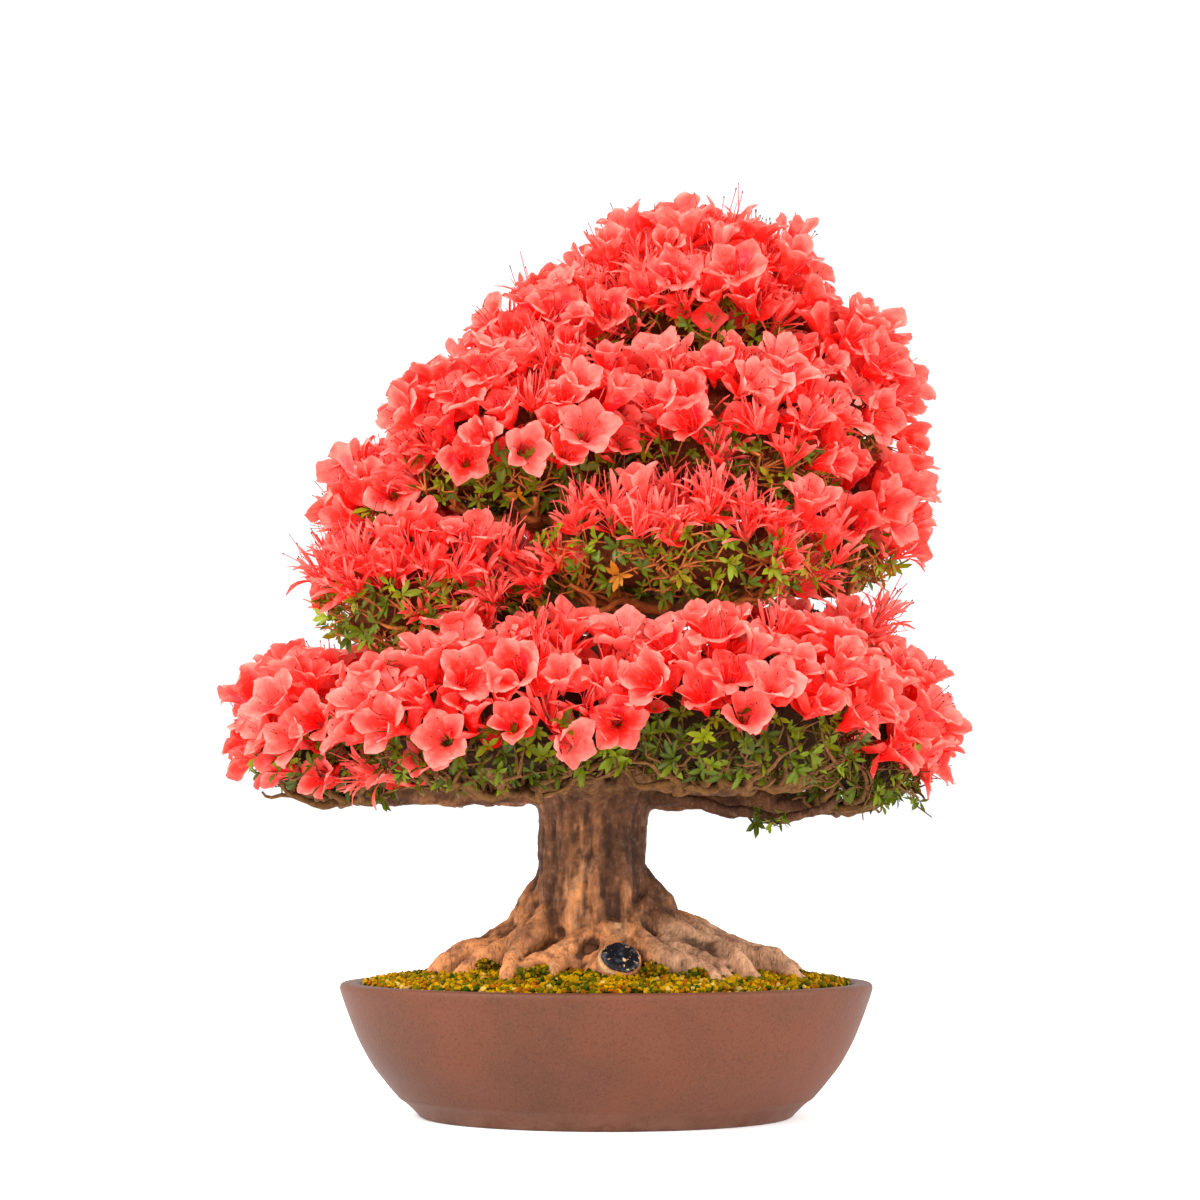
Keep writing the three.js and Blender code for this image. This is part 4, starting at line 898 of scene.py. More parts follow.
class AZALEA_OT_pot(bpy.types.Operator):
    """Builds the oval pot with its domed rim, stepped foot and drain holes"""

    bl_idname = "azalea.pot"
    bl_label = "Pot"

    def execute(self, context):
        wall = smooth_path(POT_WALL, 34)
        rim = smooth_path(POT_RIM, 26)
        profile = [*POT_UNDERSIDE, *wall, *rim, *POT_INSIDE]
        piece = oval_shape(profile).build("oval_pot", [clay_material(context.scene.azalea_pot)])
        cut_drain_holes(piece)
        settle(piece, "unglazed_clay", "pot")
        return {"FINISHED"}


# ----------------------------------------------------------------------- soil


def soil_height(x, y):
    """Height of the soil at a point: a mound with gentle swells."""
    share = math.hypot(x, y / POT_OVAL) / SOIL_HALF_LENGTH
    swell = noise.noise(Vector((x, y, 0)) / SOIL["swell_size"]) * SOIL["swell"]
    return SOIL["edge_height"] + SOIL["mound"] * max(0, 1 - share * share) + swell


def granule_templates(seed):
    """Small rounded stones of unit width: two turned squares between two tips."""
    random = np.random.default_rng(seed)
    corners = [(0, 0, -0.5)]
    for height, turn in ((-GRANULE["waist"], 0), (GRANULE["waist"], TURN / 8)):
        for corner in range(4):
            angle = turn + corner / 4 * TURN
            corners.append((0.5 * math.cos(angle), 0.5 * math.sin(angle), height))
    corners.append((0, 0, 0.5))
    low, high = np.arange(1, 5), np.arange(5, 9)
    band = np.concatenate([np.stack([low, np.roll(low, -1), high], axis=1),
                           np.stack([np.roll(low, -1), np.roll(high, -1), high], axis=1)])
    faces = [band, fan_faces(0, low, flip=True), fan_faces(9, high)]
    stones = []
    for _ in range(GRANULE["kinds"]):
        shape = Shape()
        stretch = random.uniform(*GRANULE["stretch"], 3)
        shape.add(np.array(corners) * stretch * random.uniform(*GRANULE["dent"], (len(corners), 1)), faces)
        stones.append(shape)
    return stones


class AZALEA_OT_soil(bpy.types.Operator):
    """Fills the pot with a mounded bed, covers it with granules and heaps moss against the roots"""

    bl_idname = "azalea.soil"
    bl_label = "Soil"

    def execute(self, context):
        self.bed()
        self.granules(context.scene.azalea_soil)
        return {"FINISHED"}

    def bed(self):
        """The mass of soil under the granules."""
        rings, sides = SOIL["rings"], SOIL["sides"]
        angles = np.arange(sides) / sides * TURN
        shape = Shape()
        points = [(radius * math.cos(a), radius * math.sin(a) * POT_OVAL, height)
                  for radius, height in SOIL["lower_rings"] for a in angles]
        for ring in range(rings):
            radius = SOIL_HALF_LENGTH * SOIL["inset"] * (1 - ring / rings)
            for a in angles:
                x, y = radius * math.cos(a), radius * math.sin(a) * POT_OVAL
                points.append((x, y, soil_height(x, y) - SOIL["cover"]))
        bottom, top = SOIL["lower_rings"][0][1], soil_height(0, 0) - SOIL["cover"]
        closed_rings(shape, points, sides, (0, 0, bottom), (0, 0, top))
        earth = plain_material("damp_earth", screen(84, 66, 4), 0.95, 160, 0.4, 500, 1.0)
        settle(shape.build("soil_bed", [earth]), "granular_soil")

    def granules(self, settings):
        """A layer of small stones over the bed, and heaps of them against the roots."""
        random = np.random.default_rng(SEEDS["layer"])
        stones = granule_templates(SEEDS["granules"])
        shape = Shape()
        granule = settings.granule / MM
        for x, y, z, green in self.layer_spots(settings, random):
            self.set_stone(shape, random, stones, granule, (x, y, z), green)
        for x, y, z, size in HEAPS:
            for _ in range(HEAP["granules"]):
                way = Vector(random.normal(size=3)).normalized() * size * random.random() ** HEAP["fill"]
                place = (x + way.x * HEAP["long"], y + way.y, z + way.z * HEAP["tall"])
                green = random.uniform(*HEAP["green"])
                self.set_stone(shape, random, stones, granule * HEAP["granule"], place, green)
        piece = shape.build("soil_granules", [granule_material(settings)], smooth=False)
        settle(piece, "granular_soil", "soil")

    def layer_spots(self, settings, random):
        """Places of the stones in the layer and how green each is."""
        pitch = settings.pitch / MM
        rows = int(SOIL_HALF_LENGTH * POT_OVAL / pitch) + 1
        columns = int(SOIL_HALF_LENGTH / pitch) + 1
        for row in range(-rows, rows + 1):
            for column in range(-columns, columns + 1):
                x = (column + (row % 2) / 2) * pitch + random.uniform(*LAYER["shift"])
                y = row * pitch * LAYER["row_pitch"] + random.uniform(*LAYER["shift"])
                share = math.hypot(x, y / POT_OVAL) / (SOIL_HALF_LENGTH - LAYER["wall_gap"])
                if share > 1 or (Vector((x, y, 0)) - TRUNK_FOOT).length < TRUNK_SECTIONS[0][3]:
                    continue
                moss = noise.noise(Vector((x / MOSS["size"], y / MOSS["size"], 3)))
                green = moss * MOSS["depth"] + random.uniform(*MOSS["spread"])
                yield x, y, soil_height(x, y) + random.uniform(*LAYER["lift"]), green

    def set_stone(self, shape, random, stones, size, place, green):
        """One stone, turned any way."""
        turn = Quaternion(random.normal(size=4)).normalized()
        width = size * random.uniform(*LAYER["width"])
        matrix = Matrix.LocRotScale(Vector(place), turn, Vector((width,) * 3))
        shape.stamp(stones[random.integers(len(stones))], matrix, random.random())
        shape.shades[-1][:, 2] = max(0, green)


# ----------------------------------------------------------------------- wood


def held(value):
    """A number held between 0 and 1."""
    return max(0.0, min(1.0, value))


def ramp(value, start, end):
    """A value's way from a start, where it is 0, to an end, where it is 1, and held there."""
    return held((value - start) / (end - start))


def rib_height(angle, height):
    """How far the trunk's ribs and hollows stand out; they wander a little and fade below the collar."""
    total = 0
    for index, (heading, width, rise) in enumerate(TRUNK_RIBS):
        drift = RIBS["drift"] * noise.noise(Vector((height / RIBS["drift_size"], index * 5, 0)))
        turn = angle - math.radians(heading + drift)
        away = math.degrees(abs(math.atan2(math.sin(turn), math.cos(turn))))
        total += rise * math.exp(-((away / width) ** 2))
    return total * (RIBS["kept"] + (1 - RIBS["kept"]) * held((RIBS["top"] - height) / RIBS["fade"]))


def trunk_shape(shape):
    """The ribbed trunk, from below the soil up to where the leader takes over."""
    sections = smooth_path(TRUNK_SECTIONS, TRUNK["rows"])
    points = []
    for z, lean_x, lean_y, radius in sections:
        knobby = held((z - TRUNK["knobs_from"]) / TRUNK["knobs_fade"])
        for side in range(TRUNK["sides"]):
            angle = side / TRUNK["sides"] * TURN
            way = level_way(angle)
            swell = TRUNK["swell"] * noise.noise(way * 1.6 + UP * (z / 60))
            knob = TRUNK["knob"] * knobby * noise.noise(way * 3.4 + Vector((4, 0, z / 17)))
            reach = radius * (1 + swell + knob) + rib_height(angle, z)
            points.append((TRUNK_FOOT.x + lean_x + reach * way.x, TRUNK_FOOT.y + lean_y + reach * way.y, z))
    bottom = (TRUNK_FOOT.x, TRUNK_FOOT.y, sections[0][0])
    top = (TRUNK_FOOT.x + sections[-1][1], TRUNK_FOOT.y + sections[-1][2], sections[-1][0])
    closed_rings(shape, points, TRUNK["sides"], bottom, top)


def wander(path, amount, size, seed):
    """A path whose middle wanders sideways as grown wood does."""
    moved = []
    for index, point in enumerate(path):
        place = Vector(point) / size + Vector((seed, seed, 0))
        away = Vector([noise.noise(place + UP * apart) for apart in WANDER_SHIFTS]) * amount
        hold = min(index, len(path) - 1 - index) / max(1, (len(path) - 1) / 2)
        moved.append(Vector(point) + away * min(1, 2 * hold))
    return np.array(moved)


def roots_shape(shape):
    """Thick surface roots and the thin ones between them."""
    for roots, mesh in ((ROOTS, ROOT_MESH["thick"]), (ROOTLETS, ROOT_MESH["thin"])):
        steps = mesh["steps"]
        for index, (crest, radii) in enumerate(roots):
            line = smooth_path(crest, steps)
            sizes = np.interp(np.linspace(0, 1, steps), np.linspace(0, 1, len(radii)), radii)
            ways = np.gradient(line, axis=0)
            level = np.hypot(ways[:, 0], ways[:, 1]) / np.linalg.norm(ways, axis=1)
            line[:, 2] -= sizes * ROOT_TALL / np.maximum(level, ROOT_FLATTEST)
            path = wander(line, mesh["sway"], 26, index + steps)
            knobs = (mesh["knobs"], 13, index + steps)
            tube(shape, path, radii, mesh["sides"], tall=ROOT_TALL, knobs=knobs)


def stub_ends():
    """Start and end of the sawn-off root stub."""
    heading = math.radians(STUB["angle"])
    return [TRUNK_FOOT + Vector((reach * math.cos(heading), reach * math.sin(heading), height))
            for reach, height in STUB["ends"]]


class Pad:
    """A pad of foliage: its place, its sizes and the cell that parts it from its neighbours."""

    def __init__(self, name, values):
        centre, self.size, self.dome, droop, self.strap, self.limb, sweep = values
        self.sweep = math.radians(sweep)
        self.name = name
        self.centre = Vector(centre)
        self.spread = Vector((self.centre.x, self.centre.y, self.centre.z * CELL_STRETCH))
        trunk = Vector(LEADER["points"][0])
        self.outward = math.atan2(centre[1] - trunk.y, centre[0] - trunk.x)
        turn = Quaternion(level_way(self.outward + TURN / 4), math.radians(droop))
        self.frame = Matrix.LocRotScale(self.centre, turn, Vector((1, 1, 1)))
        self.seed = SEEDS["pad"] + list(PADS).index(name)
        self.reach = sum(self.size) / 2 + BLOOM_REACH
        self.is_low = self.limb < LOW_TIER_BELOW

    def point(self, heading, share, height):
        """A point under or in the pad, at a share of its reach in a direction of its rim plane."""
        a, b = self.size
        return self.frame @ Vector((a * share * math.cos(heading), b * share * math.sin(heading), height))

    def cell(self, slack):
        """Planes that part the pad from its neighbours: normal and offset of the kept side."""
        planes = []
        for other in ALL_PADS:
            away = self.spread - other.spread
            if other is self or away.length > self.reach + other.reach + slack:
                continue
            level = self.spread.length_squared - other.spread.length_squared - self.reach**2 + other.reach**2
            normal = Vector((away.x, away.y, away.z * CELL_STRETCH))
            planes.append((normal.normalized(), level / 2 / normal.length))
        return planes

    def is_shaded(self, point):
        """Whether a point lies in the shade of a higher pad."""
        for other in ALL_PADS:
            x, y = (point.x - other.centre.x) / other.size[0], (point.y - other.centre.y) / other.size[1]
            if other.centre.z > self.centre.z + LIGHT["above"] and math.hypot(x, y) < LIGHT["cover"]:
                return True
        return False

    def has_room(self, point, facing):
        """Whether a bloom or whorl has room at a point: clear of the leader and open to the light."""
        axis = axis_at(min(point.z, LEADER["points"][-1][2]))
        outward = Vector((point.x - axis.x, point.y - axis.y, 0))
        if self.name != "apex" and outward.length < LEADER_KEEP_OUT:
            return False
        inward = outward.normalized().dot(facing) < LIGHT["inward"] and facing.z < LIGHT["upright"]
        return not inward and not (facing.z > LIGHT["sideways"] and self.is_shaded(point))


ALL_PADS = [Pad(name, values) for name, values in PADS.items()]


def axis_at(height):
    """The trunk's axis at a height."""
    foot = (TRUNK_FOOT.x, TRUNK_FOOT.y, TRUNK_SECTIONS[0][0])
    x, y, z = np.array([foot, *LEADER["points"]], float).T
    return Vector((np.interp(height, z, x), np.interp(height, z, y), height))


def shift_inside(point, planes, margin):
    """The shift that brings a point inside every plane by a margin."""
    moved = point.copy()
    for normal, offset in planes:
        depth = offset + margin - normal.dot(moved)
        if depth > 0:
            moved += normal * depth
    return moved - point


def limb_path(pad):
    """A pad's limb: out of the trunk, under the pad and up into its leaves."""
    points = [axis_at(pad.limb), pad.point(pad.outward + math.pi, PAD_LIMB["inner"], UNDER_PAD),
              pad.point(pad.outward, 0, UNDER_PAD),
              pad.point(pad.outward, PAD_LIMB["outer"], PAD_LIMB["tip_height"])]
    return wander(smooth_path(points, 34), 6, 30, pad.seed)


def bark_tone(point, rib, along_stub, off_stub):
    """How warm the bark is: 0 purple-brown, 1 orange, towards 2 where the wood is bare."""
    at_rim = held(1 - abs(along_stub + BARE_RIM["back"]) / BARE_RIM["depth"])
    at_rim *= held(1 - abs(off_stub / STUB["radius"] - 1) / BARE_RIM["width"])
    bare = at_rim * ramp(point.x, *BARE_RIM["left"])
    wound = held((WOUND["radius"] - (point - WOUND["place"]).length) / WOUND["edge"])
    low = ramp(point.z, 190, 124)
    # left and right: partly the bark's own colour, partly painted light on the left and painted shade on the
    # right front.
    left = ramp(point.x, -22, -42)
    right = ramp(point.x, 4, 20) * ramp(point.z, 140, 160)
    front = ramp(point.y, 0, -20)
    ember = TONE["ember"] * math.exp(-(((point.x + 17) / 9) ** 2)) * ramp(point.z, 236, 216)
    tone = TONE["base"] + TONE["rib"] * rib + TONE["low"] * low + TONE["left"] * left
    tone += TONE["right"] * right * front
    tone += TONE["patch"] * noise.noise(point / 34 + Vector((0, 5, 0)))
    tone += TONE["fleck"] * noise.noise(point / 11 + Vector((5, 0, 0)))
    tone += ember * front
    return max(held(tone) * (1 - bare) + 2 * bare, TONE["wound"] * wound)


def relief(point, normal, depth):
    """Moves a point of the skin into the bark's grooves and knobs. Returns it and its shade values."""
    away = point - TRUNK_FOOT
    radial = math.hypot(away.x, away.y)
    angle = math.atan2(away.y, away.x)
    limb = ramp(point.z, RIBS["top"], RIBS["top"] + 14)
    along = (point.z - radial) / 27
    round_trunk = level_way(angle)
    fibre = noise.fractal(round_trunk * 6.5 + UP * along, 0.9, 2.1, 4)
    thread = noise.noise(round_trunk * 24 + UP * along * 2.4)
    knob = noise.noise(point / 13 + Vector((7, 0, 0)))
    lump = noise.noise(point / 6 + Vector((0, 3, 0)))
    pit = noise.noise(point / 3.2 + Vector((0, 9, 0)))
    start, end = stub_ends()
    way = (end - start).normalized()
    along_stub = (point - end).dot(way)
    off_stub = (point - end - way * along_stub).length
    near_stub = held(1.6 - off_stub / STUB["radius"] / 0.9) * ramp(along_stub, -9, -3)
    hollows = [(held(1 - (point - place).length / radius), deep) for place, radius, deep in HOLLOWS]
    hollow, hollow_depth = max(hollows)
    cleft = max(0.0, -fibre)
    offset = RELIEF["fibre"] * fibre + RELIEF["groove"] * cleft + RELIEF["thread"] * thread
    offset *= depth * (1 - RELIEF["limb_fibre"] * limb)
    offset += RELIEF["lump"] * lump + RELIEF["pit"] * pit + RELIEF["limb_knob"] * knob * limb
    offset = offset * (1 - near_stub) - hollow * hollow_depth
    rib = rib_height(angle, point.z) if radial < 56 and limb < 1 else 1.5 * lump
    # groove is painted shade: how much clefts, pits, dents, hollows and rib hollows darken the bark.
    groove = cleft * GROOVE_SHADE["fibre"] + max(0.0, -pit) * GROOVE_SHADE["pit"] + max(0.0, -lump) * GROOVE_SHADE["lump"]
    groove += hollow * GROOVE_SHADE["hollow"] + max(0.0, -rib) * GROOVE_SHADE["rib"]
    pale = ramp(point.x, 22, 44) * ramp(point.z, 152, 140)
    tone = bark_tone(point, rib, along_stub, off_stub)
    return point + normal * offset, (held(groove), tone, limb if limb > 0 else -pale)


def cavity(mesh, points, normals):
    """How far each point lies in a hollow (positive) or on a ridge (negative), in millimetres."""
    ends = np.zeros(len(mesh.edges) * 2, int)
    mesh.edges.foreach_get("vertices", ends)
    first, second = ends[::2], ends[1::2]
    count = len(points)
    weight = np.bincount(first, minlength=count) + np.bincount(second, minlength=count)
    spread = points.copy()
    for _ in range(CAVITY_SHADING["rounds"]):
        sums = [np.bincount(first, spread[second, axis], count)
                + np.bincount(second, spread[first, axis], count) for axis in range(3)]
        spread = np.stack([total / weight for total in sums], axis=1)
    return np.sum((spread - points) * normals, axis=1)


class AZALEA_OT_wood(bpy.types.Operator):
    """Grows the trunk, surface roots, leader and limbs as one body of wood with grooved bark"""

    bl_idname = "azalea.wood"
    bl_label = "Trunk, roots and limbs"

    def execute(self, context):
        settings = context.scene.azalea_wood
        rough = Shape()
        trunk_shape(rough)
        roots_shape(rough)
        start, end = stub_ends()
        stub_radii = [STUB["radius"] * share for share in STUB["taper"]]
        tube(rough, smooth_path([start, (start + end) / 2, end], 8), stub_radii, 28, end_bulge=0)
        leader = wander(smooth_path(LEADER["points"], 30), 5, 50, 3)
        tube(rough, leader, LEADER["radii"], 20, up=Vector((1, 0, 0)), knobs=(0.25, 22, 4))
        low_branch = wander(smooth_path(LOW_BRANCH["points"], 30), 5, 24, 8)
        tube(rough, low_branch, LOW_BRANCH["radii"], 10, knobs=(0.35, 9, 5))
        for pad in ALL_PADS:
            if pad.name != "apex":
                tube(rough, limb_path(pad), PAD_LIMB["radii"], 12, knobs=(0.5, 15, pad.seed))
        piece = rough.build("tree_wood", [])
        self.fuse(piece, settings)
        self.carve(piece, settings)
        piece.data.materials.append(bark_material(settings))
        settle(piece, "bark", "tree")
        return {"FINISHED"}

    def fuse(self, piece, settings):
        """Joins the crossing tubes into one smooth skin."""
        skin = piece.modifiers.new("skin", "REMESH")
        skin.mode = "VOXEL"
        skin.voxel_size = settings.voxel
        soften = piece.modifiers.new("soften", "SMOOTH")
        soften.factor = 0.5
        soften.iterations = 3
        keep_modified(piece)

    def carve(self, piece, settings):
        """Cuts the bark's grooves and knobs into the skin."""
        mesh = piece.data
        count = len(mesh.vertices)
        points, normals = np.zeros(count * 3), np.zeros(count * 3)
        mesh.vertices.foreach_get("co", points)
        mesh.vertex_normals.foreach_get("vector", normals)
        plant = points.reshape(-1, 3) / MM - (PLANT_SHIFT_X, 0, 0)
        depth = settings.relief / MM
        carved = [relief(Vector(point), Vector(normal), depth)
                  for point, normal in zip(plant, normals.reshape(-1, 3))]
        moved = np.array([point for point, _ in carved])
        mesh.vertices.foreach_set("co", ((moved + (PLANT_SHIFT_X, 0, 0)) * MM).ravel())
        values = np.array([value for _, value in carved])
        hollowness = cavity(mesh, moved, normals.reshape(-1, 3))
        # Painted shade in the skin's hollows, and painted highlight that warms its ridges.
        values[:, 0] = np.clip(values[:, 0] + CAVITY_SHADING["dark"] * np.maximum(hollowness, 0), 0, 1)
        values[:, 1] += CAVITY_SHADING["warm"] * np.clip(-hollowness, 0, 1) * (values[:, 1] < 1)
        shade = mesh.attributes.get("shade") or mesh.attributes.new("shade", "FLOAT_VECTOR", "POINT")
        shade.data.foreach_set("vector", values.ravel())
        mesh.polygons.foreach_set("use_smooth", np.ones(len(mesh.polygons), bool))
        mesh.update()


class AZALEA_OT_seal(bpy.types.Operator):
    """Lays the black wound paste on the sawn stub"""

    bl_idname = "azalea.seal"
    bl_label = "Cut seal"

    def execute(self, context):
        settings = context.scene.azalea_wood
        start, end = stub_ends()
        way = (end - start).normalized()
        across = way.cross(UP).normalized()
        along = across.cross(way)
        shape = Shape()
        points = []
        for ring in range(SEAL["rings"]):
            share = ring / SEAL["rings"]
            height = SEAL["gap"] + SEAL["thickness"] * math.sin(share * math.pi / 2)
            for side in range(SEAL["sides"]):
                angle = side / SEAL["sides"] * TURN
                edge = 1 + SEAL["uneven"] * noise.noise((level_way(angle) + UP * 5) * 1.7)
                reach = (STUB["radius"] - SEAL["rim"]) * math.cos(share * math.pi / 2) * edge
                bump = SEAL["bump"] * noise.noise(level_way(angle) * reach / 3.4)
                spoke = across * math.cos(angle) + along * math.sin(angle)
                points.append(end + spoke * reach + way * (height + bump * share))
        closed_rings(shape, points, SEAL["sides"], end, end + way * (SEAL["gap"] + SEAL["thickness"]))
        piece = shape.build("wound_seal", [seal_material(settings)])
        settle(piece, "wound_paste", "cut_seal")
        return {"FINISHED"}


class AZALEA_OT_drain_meshes(bpy.types.Operator):
    """Gives the two drain meshes their plastic finish"""

    bl_idname = "azalea.drain_meshes"
    bl_label = "Drain meshes"

    def execute(self, context):
        finish = plain_material("drain_plastic", screen(40, 42, 44), 0.6, 200, 0.7)
        for side in ("left", "right"):
            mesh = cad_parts[f"drain_mesh_{side}"].data
            mesh.materials.clear()
            mesh.materials.append(finish)
        return {"FINISHED"}


# --------------------------------------------------------------------- blooms


def petal(shape, points, run, mark=0.0):
    """Adds a sheet of petal points. run and mark are how they colour."""
    shades = np.stack([run, np.zeros_like(run), mark + np.zeros_like(run)], axis=-1)
    shape.add(points, [grid_faces(*run.shape)], 0, shades.reshape(-1, 3))


def stamens(shape, random, count, length, spread):
    """Stamens with dark anthers and one longer pistil, rising from the throat."""
    for index in range(count + 1):
        is_pistil = index == count
        angle = random.uniform(0, TURN)
        lean = math.radians(random.uniform(*spread)) * (0.5 if is_pistil else 1)
        reach = length * (STAMEN["pistil"] if is_pistil else random.uniform(*STAMEN["lengths"]))
        side = level_way(angle)
        tip = side * math.sin(lean) * reach + UP * math.cos(lean) * reach
        bend = side * reach * random.uniform(*STAMEN["bends"])
        path = [(UP * 4) * (1 - t) + tip * t + bend * (4 * t * (1 - t)) for t in (0, 0.5, 1)]
        tube(shape, np.array(path), STAMEN["radii"], 3, FILAMENT, capped=False)
        knob = Shape()
        size = STAMEN["stigma"] if is_pistil else STAMEN["anther"]
        ring = [(size * 0.6 * math.cos(a), size * 0.6 * math.sin(a), 0) for a in (0, 2.1, 4.2)]
        knob.add([(0, 0, -size), *ring, (0, 0, size)],
                 [fan_faces(0, np.array([1, 2, 3]), flip=True), fan_faces(4, np.array([1, 2, 3]))], ANTHER)
        shape.stamp(knob, placed(tip, (tip - bend).normalized(), 0), 0)


def lobe(shape, random, radius, middle, opening, is_blotched):
    """One wavy lobe, walked from the throat out along a line that turns outward."""
    length = LOBE["length"] * radius * random.uniform(*LOBE["uneven"])
    fine = np.linspace(0, 1, 41)
    tilts = np.radians(LOBE["start_tilt"] + (opening - LOBE["start_tilt"]) * fine ** LOBE["bend"])
    reaches = LOBE["throat"] + np.cumsum(np.sin(tilts)) * length / len(fine)
    heights = np.cumsum(np.cos(tilts)) * length / len(fine)
    run, side = np.meshgrid(LOBE["rows"], np.linspace(-1, 1, LOBE["columns"]), indexing="ij")
    walked = run - LOBE["corner"] * side**2 * run**4
    reach, height, tilt = (np.interp(walked, fine, values) for values in (reaches, heights, tilts))
    rounding = np.sqrt(1 - (np.maximum(run - LOBE["widest"], 0) / (1.02 - LOBE["widest"])) ** 2)
    fair_share = math.pi * reach / LOBE["count"]
    half = np.minimum(fair_share * LOBE["overlap"], LOBE["half_width"] * radius * rounding)
    waves = random.uniform(*LOBE["waves"]) * radius * run**2 * (0.15 + 0.85 * np.abs(side) ** 1.5)
    offset = waves * np.sin(random.uniform(0, TURN) + 9.5 * run + side * 1.3)
    offset += random.uniform(*LOBE["cup"]) * radius * side**2 * run
    tip_waves = random.uniform(*LOBE["tip_waves"]) * radius * run**4
    offset += tip_waves * np.sin(random.uniform(0, TURN) + 5 * side)
    offset += LOBE["lap"] * side * run - LOBE["midrib"] * radius * run * np.exp(-((side / 0.25) ** 2))
    reach_out = reach - np.cos(tilt) * offset
    lift = height + np.sin(tilt) * offset
    angle = middle + side * half / np.maximum(reach, LOBE["throat"]) + random.uniform(-0.07, 0.07) * run**2
    points = np.stack([reach_out * np.cos(angle), reach_out * np.sin(angle), lift], axis=-1)
    mark = is_blotched * np.clip(1 - np.abs(side) * BLOTCH["narrow"], 0, 1)
    mark = mark * np.clip(1 - np.abs(run - BLOTCH["middle"]) / BLOTCH["reach"], 0, 1)
    petal(shape, points, run * (0.8 + 0.3 * side**2), mark)


def broad_bloom(seed, radius, stamen_length):
    """A funnel of five wavy, overlapping lobes round long stamens."""
    random = np.random.default_rng(seed)
    shape = Shape()
    is_half_open = seed % HALF_OPEN["every"] == 0
    opening = HALF_OPEN["opening"] if is_half_open else random.uniform(*OPENINGS)
    for index in range(LOBE["count"]):
        middle = index / LOBE["count"] * TURN + random.uniform(-0.05, 0.05)
        lobe(shape, random, radius, middle, opening + random.uniform(-15, 20), index == 0)
    stamens(shape, random, 5, stamen_length * random.uniform(0.85, 1.1), (5, 26))
    stalk(shape)
    return shape


def stalk(shape):
    """The green stalk and calyx under a bloom."""
    tube(shape, [(0, 0, -14), (0.6, 0, -6), (0, 0, 3)], [0.8, 0.9, 2.2], 3, STALK, capped=False)


def strap_bloom(seed, radius, stamen_length):
    """A bloom cleft to its base into narrow, twisting straps that stand like a brush."""
    random = np.random.default_rng(seed)
    shape = Shape()
    along, aside = np.linspace(0, 1, STRAP["rows"]), np.linspace(-1, 1, STRAP["columns"])
    run, side = np.meshgrid(along, aside, indexing="ij")
    for strap in range(STRAP["count"]):
        angle = (strap + random.uniform(-0.4, 0.4)) / STRAP["count"] * TURN
        lean = math.radians(random.uniform(*STRAP["leans"]))
        length = radius * random.uniform(*STRAP["lengths"])
        width = random.uniform(*STRAP["half_widths"])
        bend, twist, sway = (random.uniform(*STRAP[kind]) for kind in ("bends", "twists", "sways"))
        outward = np.array([math.cos(angle), math.sin(angle), 0])
        across = np.array([-math.sin(angle), math.cos(angle), 0])
        tilt = (lean + bend * run**2)[..., None]
        lengthwise = outward * np.sin(tilt) + np.array(UP) * np.cos(tilt)
        inward = outward * np.cos(tilt) - np.array(UP) * np.sin(tilt)
        roll = (twist * run)[..., None]
        rounding = np.sqrt(np.clip(1 - (np.maximum(run - 0.8, 0) / 0.21) ** 2, 0.02, 1))
        half = width * (0.5 + 0.7 * run) * rounding
        edge = across * np.cos(roll) + inward * np.sin(roll)
        points = lengthwise * (length * run)[..., None]
        points += across * (np.sin(3 * run) * sway * length)[..., None]
        points += edge * (side * half)[..., None] - inward * (np.abs(side) * half * 0.45)[..., None]
        petal(shape, points, 0.3 + 0.55 * run)
    stamens(shape, random, 3, stamen_length * 1.05, (4, 30))
    stalk(shape)
    return shape


def even_angle(angle, a, b):
    """Angle round an oval that spreads places evenly along it."""
    return math.atan2(math.sqrt(a) * math.sin(angle), math.sqrt(b) * math.cos(angle))


def dome_slopes(radius, rise, sweep, spacing):
    """Slope angles that spread places evenly over a dome, as if it were round."""
    slopes = np.linspace(0, sweep, 60)
    runs = np.hypot(radius * np.cos(slopes), rise * np.sin(slopes))
    rings = TURN * radius * np.sin(slopes) * runs
    area = np.concatenate([[0], np.cumsum(rings)[:-1]]) * (slopes[1] - slopes[0])
    count = int(round(area[-1] / spacing**2))
    return np.interp((np.arange(count) + 0.5) / count * area[-1], area, slopes)


def boxy(slope):
    """How much further out a pad's squared shoulder is than an oval dome at a slope."""
    return (abs(math.sin(slope)) ** BOXINESS + abs(math.cos(slope)) ** BOXINESS) ** (-1 / BOXINESS)


